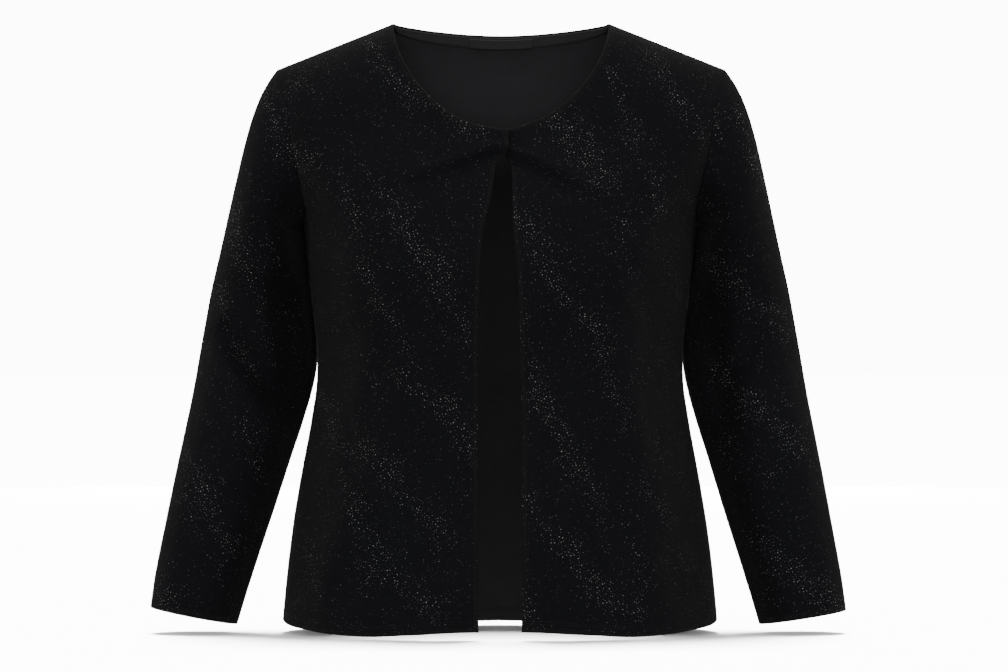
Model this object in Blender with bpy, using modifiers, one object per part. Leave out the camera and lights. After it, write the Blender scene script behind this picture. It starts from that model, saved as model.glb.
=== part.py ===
"""A knitted shrug with long set-in sleeves, hooked together at the centre of its neckline.

It keeps the hollow form of a worn garment. The wearer's left is +X and the front is -Y.
The origin is the middle of the neck, level with the two high points of the shoulders.
"""

import math
from collections import namedtuple

import bmesh
import bpy
from mathutils import Vector

# Driving sizes, in metres
WALL = 0.0015
SEAM_GAP = 0.0005
ARMHOLE_GAP = 0.0008
LAYER_GAP = 0.0009

NECK_HALF_WIDTH = 0.108
FRONT_NECK_DROP = 0.1115
FRONT_NECK_ROUNDNESS = 1.74
BACK_NECK_DROP = 0.0086
BACK_NECK_ROUNDNESS = 1.7
SHOULDER_TIP_X = 0.223
SHOULDER_TIP_Z = -0.0457
SHOULDER_ROLL = 0.075
SHOULDER_LEAN = 0.0011
LEAN_FOOT_Z = -0.300
LEAN_TOP_Z = -0.030
NORMAL_STEP = 0.004
UNDERARM_Z = -0.2010

CLOSURE_Z = -0.122
CLOSURE_LIFT = 0.0030
CLOSURE_SPREAD = 0.028
LAP_STRETCH = 0.045

TAPE_WALL = 0.001
LABEL_WIDTH = 0.065
LABEL_HEIGHT = 0.011
LABEL_TOP = 0.0012
LABEL_WALL = 0.001
LABEL_COLUMNS = 8

WIRE_RADIUS = 0.0004
WIRE_APART = 0.0011
WIRE_SINK = 0.0022
HOOK_LENGTH = 0.0040
EYE_LENGTH = 0.0034
HOOK_X = 0.0043

# The body of the garment, from the top down. half_width is where the side seam runs, front and
# back are how far the cloth stands out of it, and squareness is the superellipse's exponent.
Ring = namedtuple("Ring", "z half_width front back squareness")
BODY = (
    Ring(0.0300, 0.2500, 0.064, 0.064, 2.60),
    Ring(-0.0480, 0.2480, 0.082, 0.080, 2.60),
    Ring(-0.1100, 0.2340, 0.099, 0.096, 2.60),
    Ring(-0.1600, 0.2120, 0.121, 0.104, 2.50),
    Ring(-0.2010, 0.1970, 0.134, 0.105, 2.40),
    Ring(-0.2400, 0.1925, 0.139, 0.103, 2.35),
    Ring(-0.2900, 0.1858, 0.136, 0.099, 2.30),
    Ring(-0.3260, 0.1822, 0.132, 0.097, 2.30),
    Ring(-0.3560, 0.1830, 0.130, 0.097, 2.30),
    Ring(-0.3960, 0.1885, 0.128, 0.099, 2.28),
    Ring(-0.4560, 0.1995, 0.127, 0.104, 2.25),
    Ring(-0.5060, 0.2075, 0.126, 0.108, 2.25),
    Ring(-0.5560, 0.2135, 0.126, 0.111, 2.25),
    Ring(-0.6200, 0.2193, 0.127, 0.114, 2.25),
)

# The front armhole from the shoulder tip to the underarm. around is 0 at the centre line and 1 at
# the side seam, as a share of the quarter turn between them.
Notch = namedtuple("Notch", "z around")
ARMHOLE = (
    Notch(-0.0462, 0.712),
    Notch(-0.0640, 0.690),
    Notch(-0.0880, 0.680),
    Notch(-0.1310, 0.723),
    Notch(-0.1650, 0.782),
    Notch(-0.1870, 0.830),
    Notch(-0.1975, 0.900),
    Notch(-0.2010, 1.000),
)

# The line over a front from the lap down and out to the underarm, below which its rows start at
# the centre edge and above which they start at the neckline
Step = namedtuple("Step", "x z")
YOKE = (
    Step(0.0350, -0.1310),
    Step(0.0750, -0.1600),
    Step(0.1200, -0.1900),
    Step(0.1620, -0.2090),
)
BACK_YOKE_DIP = 0.018
BACK_YOKE_ROUNDNESS = 0.8

# The hem's height at each place around the body
Hem = namedtuple("Hem", "around z")
FRONT_HEM = (
    Hem(0.00, -0.6002),
    Hem(0.12, -0.6012),
    Hem(0.26, -0.6038),
    Hem(0.41, -0.6061),
    Hem(0.56, -0.6042),
    Hem(0.68, -0.6014),
    Hem(0.82, -0.5985),
    Hem(1.00, -0.5940),
)
BACK_HEM = (
    Hem(0.00, -0.6040),
    Hem(0.45, -0.6045),
    Hem(0.80, -0.5995),
    Hem(1.00, -0.5940),
)

# The two centre-front edges, from the hem up to the lap
Edge = namedtuple("Edge", "z x")
FRONT_EDGES = {
    "front_right": (
        Edge(-0.6200, -0.0214),
        Edge(-0.4500, -0.0218),
        Edge(-0.3090, -0.0214),
        Edge(-0.2450, -0.0165),
        Edge(-0.1790, -0.0097),
        Edge(-0.1420, -0.0050),
        Edge(-0.1000, -0.0010),
    ),
    "front_left": (
        Edge(-0.6200, 0.0217),
        Edge(-0.4500, 0.0220),
        Edge(-0.3090, 0.0217),
        Edge(-0.2450, 0.0192),
        Edge(-0.1790, 0.0160),
        Edge(-0.1420, 0.0122),
        Edge(-0.1000, 0.0080),
    ),
}

# At the closure each front reaches across the centre: how far, between which heights the reach
# grows, and which of the two layers it is
Lap = namedtuple("Lap", "reach foot_z top_z layer")
LAPS = {
    "front_right": Lap(0.0070, -0.1430, -0.1290, 1),
    "front_left": Lap(0.0020, -0.1460, -0.1240, -1),
}

# Soft folds that start at the lap: the groove drops by slope times the way out from the centre
DRAPE_SLOPE = {"front_right": 0.42, "front_left": 0.56}
DRAPE_BEND = 0.015
DRAPE_REACH = 0.125
GROOVE_Z = -0.1325
GROOVE_DEPTH = 0.0026
GROOVE_WIDTH = 0.0060
RIDGE_RISE = 0.0052
RIDGE_WIDTH = 0.0080
RIDGE_ABOVE = 0.0105

# Straight folds, seen from the front or the back: a line on the cloth and its rise or hollow
Fold = namedtuple("Fold", "x0 z0 x1 z1 rise width")
BODY_FOLDS = {
    "front_right": (
        Fold(-0.152, -0.300, -0.163, -0.450, -0.0030, 0.020),
        Fold(-0.078, -0.470, -0.070, -0.680, 0.0042, 0.024),
        Fold(-0.165, -0.500, -0.176, -0.680, 0.0034, 0.020),
    ),
    "front_left": (
        Fold(0.150, -0.240, 0.160, -0.470, -0.0026, 0.018),
        Fold(0.062, -0.460, 0.056, -0.680, 0.0040, 0.022),
        Fold(0.140, -0.500, 0.150, -0.680, 0.0034, 0.022),
    ),
    "back": (
        Fold(-0.105, -0.300, -0.120, -0.680, 0.0050, 0.026),
        Fold(0.010, -0.360, 0.004, -0.680, 0.0040, 0.028),
        Fold(0.118, -0.290, 0.126, -0.680, 0.0050, 0.025),
    ),
}

# The sleeve below the armhole, for the wearer's left. The points are the inner and outer ends of
# each ring as seen from the front; depth is half of its size from front to back.
Cuff = namedtuple("Cuff", "inner_x inner_z outer_x outer_z depth y squareness")
SLEEVE = (
    Cuff(0.1968, -0.2120, 0.2715, -0.1890, 0.068, 0.004, 2.15),
    Cuff(0.1922, -0.2480, 0.2808, -0.2280, 0.066, 0.014, 2.12),
    Cuff(0.1868, -0.2850, 0.2902, -0.2660, 0.062, 0.026, 2.10),
    Cuff(0.1830, -0.3230, 0.2970, -0.3020, 0.058, 0.028, 2.08),
    Cuff(0.1866, -0.3570, 0.3022, -0.3320, 0.056, 0.026, 2.06),
    Cuff(0.1972, -0.3960, 0.3086, -0.3700, 0.054, 0.020, 2.05),
    Cuff(0.2096, -0.4340, 0.3162, -0.4080, 0.051, 0.013, 2.05),
    Cuff(0.2232, -0.4770, 0.3252, -0.4520, 0.047, 0.005, 2.05),
    Cuff(0.2386, -0.5240, 0.3350, -0.5020, 0.042, -0.003, 2.05),
    Cuff(0.2526, -0.5680, 0.3438, -0.5480, 0.038, -0.009, 2.05),
    Cuff(0.2618, -0.5990, 0.3486, -0.5825, 0.035, -0.012, 2.05),
)
# How far each cuff swings in, and how much lower its outer end hangs
Swing = namedtuple("Swing", "x outer_z")
SLEEVE_SWING = {"sleeve_right": Swing(0.0, 0.0004), "sleeve_left": Swing(-0.0034, -0.0026)}
SWING_TOP_Z = -0.3300
SWING_FOOT_Z = -0.5900
# The cap of the sleeve: how long it holds its first and last direction, as shares of the way to
# the first ring, and how much its very top turns down out of the shoulder's slope
CAP_START = 0.25
CAP_START_SIDES = 0.30
CAP_END = 0.45
CAP_TURN = 0.6
CAP_TOP_GAP = 0.0005

# Creases at the elbow, on the sleeve's front (-1) or back (1)
Crease = namedtuple("Crease", "face x0 z0 x1 z1 rise width")
SLEEVE_CREASES = {
    "sleeve_right": (
        Crease(-1, 0.281, -0.296, 0.196, -0.400, -0.0055, 0.013),
        Crease(-1, 0.222, -0.262, 0.192, -0.335, -0.0040, 0.010),
        Crease(-1, 0.295, -0.330, 0.215, -0.430, 0.0030, 0.013),
        Crease(1, 0.290, -0.300, 0.200, -0.375, -0.0040, 0.013),
        Crease(1, 0.290, -0.345, 0.205, -0.415, -0.0036, 0.013),
    ),
    "sleeve_left": (
        Crease(-1, 0.204, -0.280, 0.226, -0.430, -0.0050, 0.016),
        Crease(-1, 0.262, -0.300, 0.216, -0.380, -0.0030, 0.012),
        Crease(1, 0.288, -0.305, 0.200, -0.372, -0.0042, 0.013),
        Crease(1, 0.292, -0.352, 0.208, -0.425, -0.0034, 0.013),
    ),
}

# How many faces the cloth is drawn with
FRONT_COLUMNS = 18
BACK_NECK_COLUMNS = 14
BACK_SHOULDER_COLUMNS = 6
Band = namedtuple("Band", "rows centre_z side_z")
FRONT_BANDS = (
    Band(8, -0.2700, -0.3200),
    Band(4, -0.1800, -0.2550),
    Band(11, -FRONT_NECK_DROP, UNDERARM_Z),
)
BACK_BODY_ROWS = 12
YOKE_ROWS = 12
YOKE_ROW_CROWDING = 0.6
SLEEVE_COLUMNS = 24
SLEEVE_CAP_ROWS = 7
SLEEVE_CAP_CROWDING = 1.4
SLEEVE_TUBE_ROWS = 12

KNIT_BLACK = (0.0075, 0.0080, 0.0095, 1.0)
INSIDE_BLACK = (0.0120, 0.0122, 0.0140, 1.0)
LABEL_BLACK = (0.0160, 0.0160, 0.0180, 1.0)
HOOK_BLACK = (0.0300, 0.0300, 0.0320, 1.0)


def table_value(rows, key, column, at):
    """The column's value at a place in a table, on a smooth curve that never overshoots its rows."""
    rows = sorted(rows, key=lambda row: getattr(row, key))
    places = [getattr(row, key) for row in rows]
    values = [getattr(row, column) for row in rows]
    if at <= places[0]:
        return values[0]
    if at >= places[-1]:
        return values[-1]
    steps = [b - a for a, b in zip(places, places[1:])]
    slopes = [(b - a) / step for a, b, step in zip(values, values[1:], steps)]
    bends = [slopes[0]]
    for before, after in zip(slopes, slopes[1:]):
        bends.append(0.0 if before * after <= 0 else 2 * before * after / (before + after))
    bends.append(slopes[-1])
    i = max(k for k in range(len(steps)) if places[k] <= at)
    t = (at - places[i]) / steps[i]
    return (
        (2 * t**3 - 3 * t**2 + 1) * values[i]
        + (t**3 - 2 * t**2 + t) * steps[i] * bends[i]
        + (3 * t**2 - 2 * t**3) * values[i + 1]
        + (t**3 - t**2) * steps[i] * bends[i + 1]
    )


def ease(value, low, high):
    """0 below low and 1 above high, with a soft start and end."""
    share = min(1.0, max(0.0, (value - low) / (high - low)))
    return share * share * (3 - 2 * share)


def ridge_height(x):
    """The height of the shoulder line. Over the neck it goes on as the arch it would have."""
    slope = -SHOULDER_TIP_Z / (SHOULDER_TIP_X - NECK_HALF_WIDTH)
    if abs(x) >= NECK_HALF_WIDTH:
        return -slope * (abs(x) - NECK_HALF_WIDTH)
    return slope * NECK_HALF_WIDTH / 2 * (1 - (x / NECK_HALF_WIDTH) ** 2)


def drop_of(down):
    """How much lower the cloth is after running this far down from the shoulder line."""
    quarter = SHOULDER_ROLL * math.pi / 2
    if down < quarter:
        return SHOULDER_ROLL * (1 - math.cos(down / SHOULDER_ROLL))
    return SHOULDER_ROLL + down - quarter


def down_of(drop):
    """The way down the cloth that loses this much height."""
    if drop < SHOULDER_ROLL:
        return SHOULDER_ROLL * math.acos(1 - max(0.0, drop) / SHOULDER_ROLL)
    return SHOULDER_ROLL * (math.pi / 2 - 1) + drop


def torso_point(around, down, facing):
    """A point of the body's outer face. facing is -1 on the front and 1 on the back."""
    turn = math.sin(around * math.pi / 2)
    z = -down
    for _ in range(14):
        x = table_value(BODY, "z", "half_width", z) * turn
        z = ridge_height(x) - drop_of(down)
    stand_out = table_value(BODY, "z", "front" if facing < 0 else "back", z)
    squareness = table_value(BODY, "z", "squareness", z)
    roll = math.sin(min(down / SHOULDER_ROLL, math.pi / 2))
    arc = max(0.0, 1 - abs(turn) ** squareness) ** (1 / squareness)
    return Vector((x, facing * (stand_out * roll * arc + SEAM_GAP / 2), z))


def torso_normal(around, down, facing):
    """The direction out of the body at a point of it."""
    step = NORMAL_STEP
    side = torso_point(around + step, down, facing) - torso_point(around - step, down, facing)
    above = torso_point(around, max(0.0, down - step), facing)
    along = torso_point(around, down + step, facing) - above
    normal = side.cross(along).normalized()
    return normal if normal.y * facing > 0 else -normal


def around_of(x, z):
    return math.asin(max(-1.0, min(1.0, x / table_value(BODY, "z", "half_width", z)))) * 2 / math.pi


def place_of(x, z):
    """The (around, down) place of a point that is given by its x and z."""
    return around_of(x, z), down_of(ridge_height(x) - z)


def lean(point):
    """The shoulders sit a touch to the wearer's left of the hem."""
    shift = SHOULDER_LEAN * ease(point.z, LEAN_FOOT_Z, LEAN_TOP_Z)
    return point + Vector((shift, 0, 0))


def bend_through(before, start, end, after, share):
    """A place between start and end on the curve through four rows, column by column."""
    return tuple(
        0.5
        * (
            2 * b
            + (c - a) * share
            + (2 * a - 5 * b + 4 * c - d) * share**2
            + (3 * b - a - 3 * c + d) * share**3
        )
        for a, b, c, d in zip(before, start, end, after)
    )


def curve_at(rows, place):
    """The row at a place along a curve through rows, where 0 is the first row and 1 the second."""
    number = min(len(rows) - 2, int(place))
    near = [rows[max(0, min(len(rows) - 1, number + k))] for k in (-1, 0, 1, 2)]
    return bend_through(*near, place - number)


def curve_through(rows, parts=8):
    count = (len(rows) - 1) * parts
    return [curve_at(rows, i / parts) for i in range(count + 1)]


class Seam:
    """A line over the body through (around, down) places, which can be walked by share of length."""

    def __init__(self, places, facing):
        self.places = places
        points = [torso_point(*place, facing) for place in places]
        self.lengths = [0.0]
        for a, b in zip(points, points[1:]):
            self.lengths.append(self.lengths[-1] + (b - a).length)

    def at(self, share):
        goal = share * self.lengths[-1]
        i = 0
        while i < len(self.places) - 2 and self.lengths[i + 1] < goal:
            i += 1
        part = (goal - self.lengths[i]) / (self.lengths[i + 1] - self.lengths[i])
        return mix(self.places[i], self.places[i + 1], part)


def mix(a, b, share):
    return tuple(p + (q - p) * share for p, q in zip(a, b))


def place_at_turn(around, z):
    x = table_value(BODY, "z", "half_width", z) * math.sin(around * math.pi / 2)
    return around, down_of(ridge_height(x) - z)


def armhole_seam(facing, side=1):
    """The armhole from the underarm up to the shoulder tip."""
    rows = curve_through(ARMHOLE[::-1])
    places = [place_at_turn(side * around, z) for z, around in rows[:-1]]
    places.append((side * around_of(SHOULDER_TIP_X, SHOULDER_TIP_Z), 0.0))
    return Seam(places, facing)


def hem_seam(facing, hem, start, end):
    places = []
    for i in range(41):
        around = start + (end - start) * i / 40
        places.append(place_at_turn(around, table_value(hem, "around", "z", abs(around))))
    return Seam(places, facing)


def shoulder_seam(facing, side):
    places = []
    for i in range(13):
        x = NECK_HALF_WIDTH + (SHOULDER_TIP_X - NECK_HALF_WIDTH) * i / 12
        places.append((side * around_of(x, ridge_height(x)), 0.0))
    return Seam(places, facing)


def front_neck_seam(side, start_x):
    """The front neckline from the lap out to the high point of the shoulder."""
    power = 2 / FRONT_NECK_ROUNDNESS
    points = [(start_x, -FRONT_NECK_DROP)]
    for i in range(49):
        angle = math.pi / 2 * i / 48
        x = side * NECK_HALF_WIDTH * math.sin(angle) ** power
        if (x - start_x) * side > 0.002:
            points.append((x, -FRONT_NECK_DROP * math.cos(angle) ** power))
    places = [place_of(x, z) for x, z in points]
    places[-1] = (places[-1][0], 0.0)
    return Seam(places, -1)


def front_yoke_seam(side, start_x):
    points = [(start_x, -FRONT_NECK_DROP)] + [(side * x, z) for x, z in YOKE]
    places = [place_of(x, z) for x, z in points]
    places.append(place_at_turn(side, UNDERARM_Z))
    return Seam(curve_through(places), -1)


def back_yoke_seam():
    """The line across the back from underarm to underarm, dipping beside the armholes."""
    places = []
    for i in range(49):
        around = -1 + i / 24
        dip = BACK_YOKE_DIP * abs(math.sin(around * math.pi)) ** BACK_YOKE_ROUNDNESS
        places.append(place_at_turn(around, UNDERARM_Z - dip))
    return Seam(places, 1)


def back_neck_seam():
    places = []
    for i in range(33):
        x = NECK_HALF_WIDTH * (i / 16 - 1)
        share = abs(x) / NECK_HALF_WIDTH
        places.append(place_of(x, -BACK_NECK_DROP * (1 - share**BACK_NECK_ROUNDNESS)))
    places[0] = (places[0][0], 0.0)
    places[-1] = (places[-1][0], 0.0)
    return Seam(places, 1)


def edge_x(name, z):
    """Where a front's centre edge would run without its lap."""
    return table_value(FRONT_EDGES[name], "z", "x", z)


def lap_shift(name, x, z):
    """How far the cloth beside the centre edge is drawn sideways, so that the lap crosses the centre."""
    lap = LAPS[name]
    plain = edge_x(name, z)
    near = 1 - ease(abs(x - plain), 0.0, LAP_STRETCH)
    return (lap.reach - plain) * near * ease(z, lap.foot_z, lap.top_z)


def straight_folds(folds, x, z):
    rise = 0.0
    for fold in folds:
        run = Vector((fold.x1 - fold.x0, fold.z1 - fold.z0))
        away = Vector((x - fold.x0, z - fold.z0))
        share = away.dot(run) / run.length_squared
        if 0 < share < 1:
            off = (away - run * share).length / fold.width
            rise += fold.rise * math.exp(-off * off) * (1 - (2 * share - 1) ** 4)
    return rise


def drape_rise(name, x, z):
    """The roll of cloth from the lap out along the neckline, and the groove under it."""
    out = abs(x)
    groove_z = GROOVE_Z - DRAPE_SLOPE[name] * out * out / (out + DRAPE_BEND)
    above = z - groove_z
    fade = 1 - ease(out, 0.030, DRAPE_REACH)
    widen = 1 + out / 0.110
    ridge = RIDGE_RISE * math.exp(-(((above - RIDGE_ABOVE * widen) / (RIDGE_WIDTH * widen)) ** 2))
    groove = GROOVE_DEPTH * math.exp(-((above / (GROOVE_WIDTH * widen)) ** 2))
    return fade * (ridge - groove)


def closure_lift(name, x, z):
    """Parts the two layers at the lap: the right front lies over the left."""
    away = math.hypot(x, z - CLOSURE_Z) / CLOSURE_SPREAD
    return LAPS[name].layer * CLOSURE_LIFT * math.exp(-away * away)


def patch(first, second, hem, top, across, up):
    """A place on the patch between two side places and two seams, whose corners meet them."""
    sides = mix(first, second, across)
    ends = mix(hem.at(across), top.at(across), up)
    corners = mix(mix(hem.at(0), hem.at(1), across), mix(top.at(0), top.at(1), across), up)
    around, down = (a + b - c for a, b, c in zip(sides, ends, corners))
    return around, max(0.0, down)


def crowded(share):
    """Rows between the yoke line and the shoulder, closer together at both ends."""
    return share - YOKE_ROW_CROWDING * math.sin(2 * math.pi * share) / (2 * math.pi)


class Front:
    """A front, across from its centre edge to its side seam and up from its hem."""

    def __init__(self, name, side):
        self.name = name
        self.side = side
        self.body_rows = sum(band.rows for band in FRONT_BANDS)
        self.rows = self.body_rows + YOKE_ROWS
        self.hem_z = FRONT_HEM[0].z
        start = around_of(edge_x(name, self.hem_z), self.hem_z)
        self.hem = hem_seam(-1, FRONT_HEM, start, side)
        self.yoke = front_yoke_seam(side, edge_x(name, -FRONT_NECK_DROP))
        self.neck = front_neck_seam(side, edge_x(name, -FRONT_NECK_DROP))
        self.shoulder = shoulder_seam(-1, side)
        self.armhole = armhole_seam(-1, side)

    def place(self, across, up):
        row = up * self.rows
        if row > self.body_rows:
            share = crowded((row - self.body_rows) / YOKE_ROWS)
            first, second = self.neck.at(share), self.armhole.at(share)
            return patch(first, second, self.yoke, self.shoulder, across, share)
        centre_z, side_z = self.hem_z, FRONT_HEM[-1].z
        for band in FRONT_BANDS:
            share = min(1.0, row / band.rows)
            row = max(0.0, row - band.rows)
            centre_z += (band.centre_z - centre_z) * share
            side_z += (band.side_z - side_z) * share
            if share < 1:
                break
        first = place_of(edge_x(self.name, centre_z), centre_z)
        second = place_at_turn(self.side, side_z)
        share = (centre_z - self.hem_z) / (-FRONT_NECK_DROP - self.hem_z)
        return patch(first, second, self.hem, self.yoke, across, share)

    def point(self, across, up, out=0.0):
        around, down = self.place(across, up)
        base = torso_point(around, down, -1)
        quarter = table_value(BODY, "z", "half_width", base.z) * math.pi / 2
        around += lap_shift(self.name, base.x, base.z) / quarter
        base = torso_point(around, down, -1)
        rise = straight_folds(BODY_FOLDS[self.name], base.x, base.z)
        rise += drape_rise(self.name, base.x, base.z)
        rise *= 1 - ease(across, 0.82, 1.0)
        rise += closure_lift(self.name, base.x, base.z)
        return base + torso_normal(around, down, -1) * (rise + out)


class Back:
    """The back, across from the wearer's right to the left and up from its hem."""

    def __init__(self):
        self.columns = BACK_NECK_COLUMNS + 2 * BACK_SHOULDER_COLUMNS
        self.rows = BACK_BODY_ROWS + YOKE_ROWS
        self.shoulder_share = BACK_SHOULDER_COLUMNS / self.columns
        self.hem = hem_seam(1, BACK_HEM, -1, 1)
        self.yoke = back_yoke_seam()
        self.neck = back_neck_seam()
        self.shoulders = {side: shoulder_seam(1, side) for side in (-1, 1)}
        self.armholes = {side: armhole_seam(1, side) for side in (-1, 1)}

    def at(self, across):
        """The top edge: shoulder seam, neckline, shoulder seam."""
        if across < self.shoulder_share:
            return self.shoulders[-1].at(1 - across / self.shoulder_share)
        if across > 1 - self.shoulder_share:
            return self.shoulders[1].at(1 - (1 - across) / self.shoulder_share)
        return self.neck.at((across - self.shoulder_share) / (1 - 2 * self.shoulder_share))

    def place(self, across, up):
        row = up * self.rows
        if row > BACK_BODY_ROWS:
            share = crowded((row - BACK_BODY_ROWS) / YOKE_ROWS)
            first, second = (self.armholes[side].at(share) for side in (-1, 1))
            return patch(first, second, self.yoke, self, across, share)
        share = row / BACK_BODY_ROWS
        z = BACK_HEM[-1].z + (UNDERARM_Z - BACK_HEM[-1].z) * share
        first, second = (place_at_turn(side, z) for side in (-1, 1))
        return patch(first, second, self.hem, self.yoke, across, share)

    def point(self, across, up, out=0.0):
        around, down = self.place(across, up)
        base = torso_point(around, down, 1)
        rise = straight_folds(BODY_FOLDS["back"], base.x, base.z)
        rise *= 1 - ease(abs(2 * across - 1), 0.86, 1.0)
        return base + torso_normal(around, down, 1) * (rise + out)


class Sleeve:
    """A sleeve as rings that fan out of the armhole and then run down the arm."""

    def __init__(self, name, side):
        self.name = name
        self.side = side
        self.front_armhole = armhole_seam(-1)
        self.back_armhole = armhole_seam(1)

    def ring_point(self, ring, angle):
        """A point of ring number ring, which may be between two rows. Angle 0 is the outer end."""
        section = Cuff(*curve_at(SLEEVE, ring))
        power = 2 / section.squareness
        outward = math.copysign(abs(math.cos(angle)) ** power, math.cos(angle))
        forward = math.copysign(abs(math.sin(angle)) ** power, math.sin(angle))
        x = (section.inner_x + section.outer_x) / 2 + outward * (section.outer_x - section.inner_x) / 2
        z = (section.inner_z + section.outer_z) / 2 + outward * (section.outer_z - section.inner_z) / 2
        swing = SLEEVE_SWING[self.name]
        share = ease(-z, -SWING_TOP_Z, -SWING_FOOT_Z)
        x += swing.x * share
        z += swing.outer_z * share * (1 + outward) / 2
        return Vector((x, section.y - forward * section.depth, z))

    def armhole_point(self, angle):
        """The sleeve's end at the armhole, and the way the body's cloth runs out of it there."""
        facing = -1 if angle <= math.pi else 1
        share = crowded(1 - angle / math.pi if facing < 0 else angle / math.pi - 1)
        seam = self.front_armhole if facing < 0 else self.back_armhole
        around, down = seam.at(share)
        start = torso_point(around, down, facing)
        out = (start - torso_point(around - 2 * NORMAL_STEP, down, facing)).normalized()
        gap = ARMHOLE_GAP + CAP_TOP_GAP * math.cos(angle / 2) ** 16
        return start + Vector((gap, 0, 0)), out

    def outer_point(self, around_share, along):
        """along runs from 0 at the armhole over 1 at the first full ring to the cuff."""
        angle = 2 * math.pi * around_share
        if along >= 1:
            return self.ring_point((along - 1) * (len(SLEEVE) - 1), angle)
        start, out = self.armhole_point(angle)
        end = self.ring_point(0, angle)
        chord = end - start
        run = (self.ring_point(0.2, angle) - end).normalized()
        top = math.cos(angle / 2) ** 16
        follow = math.cos(angle / 2) ** 4 * (1 - CAP_TURN * top)
        leave = (out * follow + chord.normalized() * (1 - follow)).normalized()
        first = CAP_START + (CAP_START_SIDES - CAP_START) * math.sin(angle / 2) ** 2
        handle_a = start + leave * chord.length * first
        handle_b = end - run * chord.length * CAP_END
        t = along
        return (
            start * (1 - t) ** 3
            + handle_a * 3 * t * (1 - t) ** 2
            + handle_b * 3 * t * t * (1 - t)
            + end * t**3
        )

    def point(self, around_share, row_share):
        rows = row_share * (SLEEVE_CAP_ROWS + SLEEVE_TUBE_ROWS)
        along = min(1.0, rows / SLEEVE_CAP_ROWS) ** SLEEVE_CAP_CROWDING
        if rows > SLEEVE_CAP_ROWS:
            along = 1 + (rows - SLEEVE_CAP_ROWS) / SLEEVE_TUBE_ROWS
        point = self.outer_point(around_share, along)
        face = -1 if around_share <= 0.5 else 1
        creases = [crease[1:] for crease in SLEEVE_CREASES[self.name] if crease.face == face]
        strength = abs(math.sin(2 * math.pi * around_share)) ** 0.7
        point.y += face * strength * straight_folds([Fold(*crease) for crease in creases], point.x, point.z)
        point.x *= self.side
        return point


def material(name, colour, roughness, metallic=0.0):
    made = bpy.data.materials.new(name)
    made.use_nodes = True
    shader = made.node_tree.nodes["Principled BSDF"]
    shader.inputs["Base Color"].default_value = colour
    shader.inputs["Roughness"].default_value = roughness
    shader.inputs["Metallic"].default_value = metallic
    made.diffuse_color = colour
    return made


def add_object(name, data, collection, finish):
    made = bpy.data.objects.new(name, data)
    data.materials.append(finish)
    collection.objects.link(made)
    return made


def cloth(name, columns, rows, point, wall, collection, finish, closed=False):
    """A grid laid over the cloth's outer face, with its wall grown inwards."""
    grid = bmesh.new()
    bmesh.ops.create_grid(grid, x_segments=columns, y_segments=rows, size=0.5)
    for vertex in grid.verts:
        across = round((vertex.co.x + 0.5) * columns) / columns
        up = round((vertex.co.y + 0.5) * rows) / rows
        vertex.co = lean(point(across, up))
    if closed:
        bmesh.ops.remove_doubles(grid, verts=grid.verts, dist=0.00001)
    mesh = bpy.data.meshes.new(name)
    grid.to_mesh(mesh)
    grid.free()
    mesh.shade_smooth()
    made = add_object(name, mesh, collection, finish)
    shell = made.modifiers.new("Wall", "SOLIDIFY")
    shell.thickness = wall
    shell.offset = -1
    return made


def wire(name, points, collection, finish):
    """A bent wire through points."""
    curve = bpy.data.curves.new(name, "CURVE")
    curve.dimensions = "3D"
    curve.bevel_depth = WIRE_RADIUS
    curve.bevel_resolution = 2
    curve.use_fill_caps = True
    spline = curve.splines.new("POLY")
    spline.points.add(len(points) - 1)
    for target, point in zip(spline.points, points):
        target.co = (*point, 1)
    return add_object(name, curve, collection, finish)


def hook_and_eye(collection, finish):
    """The hook under the right front's lap, and the bar that it holds on the left front."""
    around, down = place_of(HOOK_X, CLOSURE_Z)
    out = torso_normal(around, down, -1)
    rise = drape_rise("front_right", HOOK_X, CLOSURE_Z) - WIRE_SINK
    middle = lean(torso_point(around, down, -1) + out * rise)
    over = middle + out * WIRE_APART / 2
    under = middle - out * WIRE_APART / 2
    across = Vector((HOOK_LENGTH / 2, 0, 0))
    along = out.cross(across).normalized() * EYE_LENGTH / 2
    wire("hook", [over - across, over + across], collection, finish)
    wire("eye", [under - along, under + along], collection, finish)


def neck_trim(back, collection, tape_finish, label_finish):
    """The tape along the inside of the back neck, and the label that is sewn over it."""
    first = back.shoulder_share
    last = 1 - first

    def tape_point(across, up):
        share = last + (first - last) * across
        return back.point(share, 1 - (1 - up) / back.rows, -(WALL + LAYER_GAP))

    def label_point(across, up):
        half_share = (last - first) / 2 * LABEL_WIDTH / back.neck.lengths[-1]
        share = 0.5 - half_share * (2 * across - 1)
        inset = WALL + TAPE_WALL + 2 * LAYER_GAP
        around, down = back.place(share, 1.0)
        down += LABEL_TOP + (1 - up) * LABEL_HEIGHT
        return torso_point(around, down, 1) - torso_normal(around, down, 1) * inset

    cloth("neck_tape", BACK_NECK_COLUMNS, 1, tape_point, TAPE_WALL, collection, tape_finish)
    cloth("label", LABEL_COLUMNS, 2, label_point, LABEL_WALL, collection, label_finish)


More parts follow.
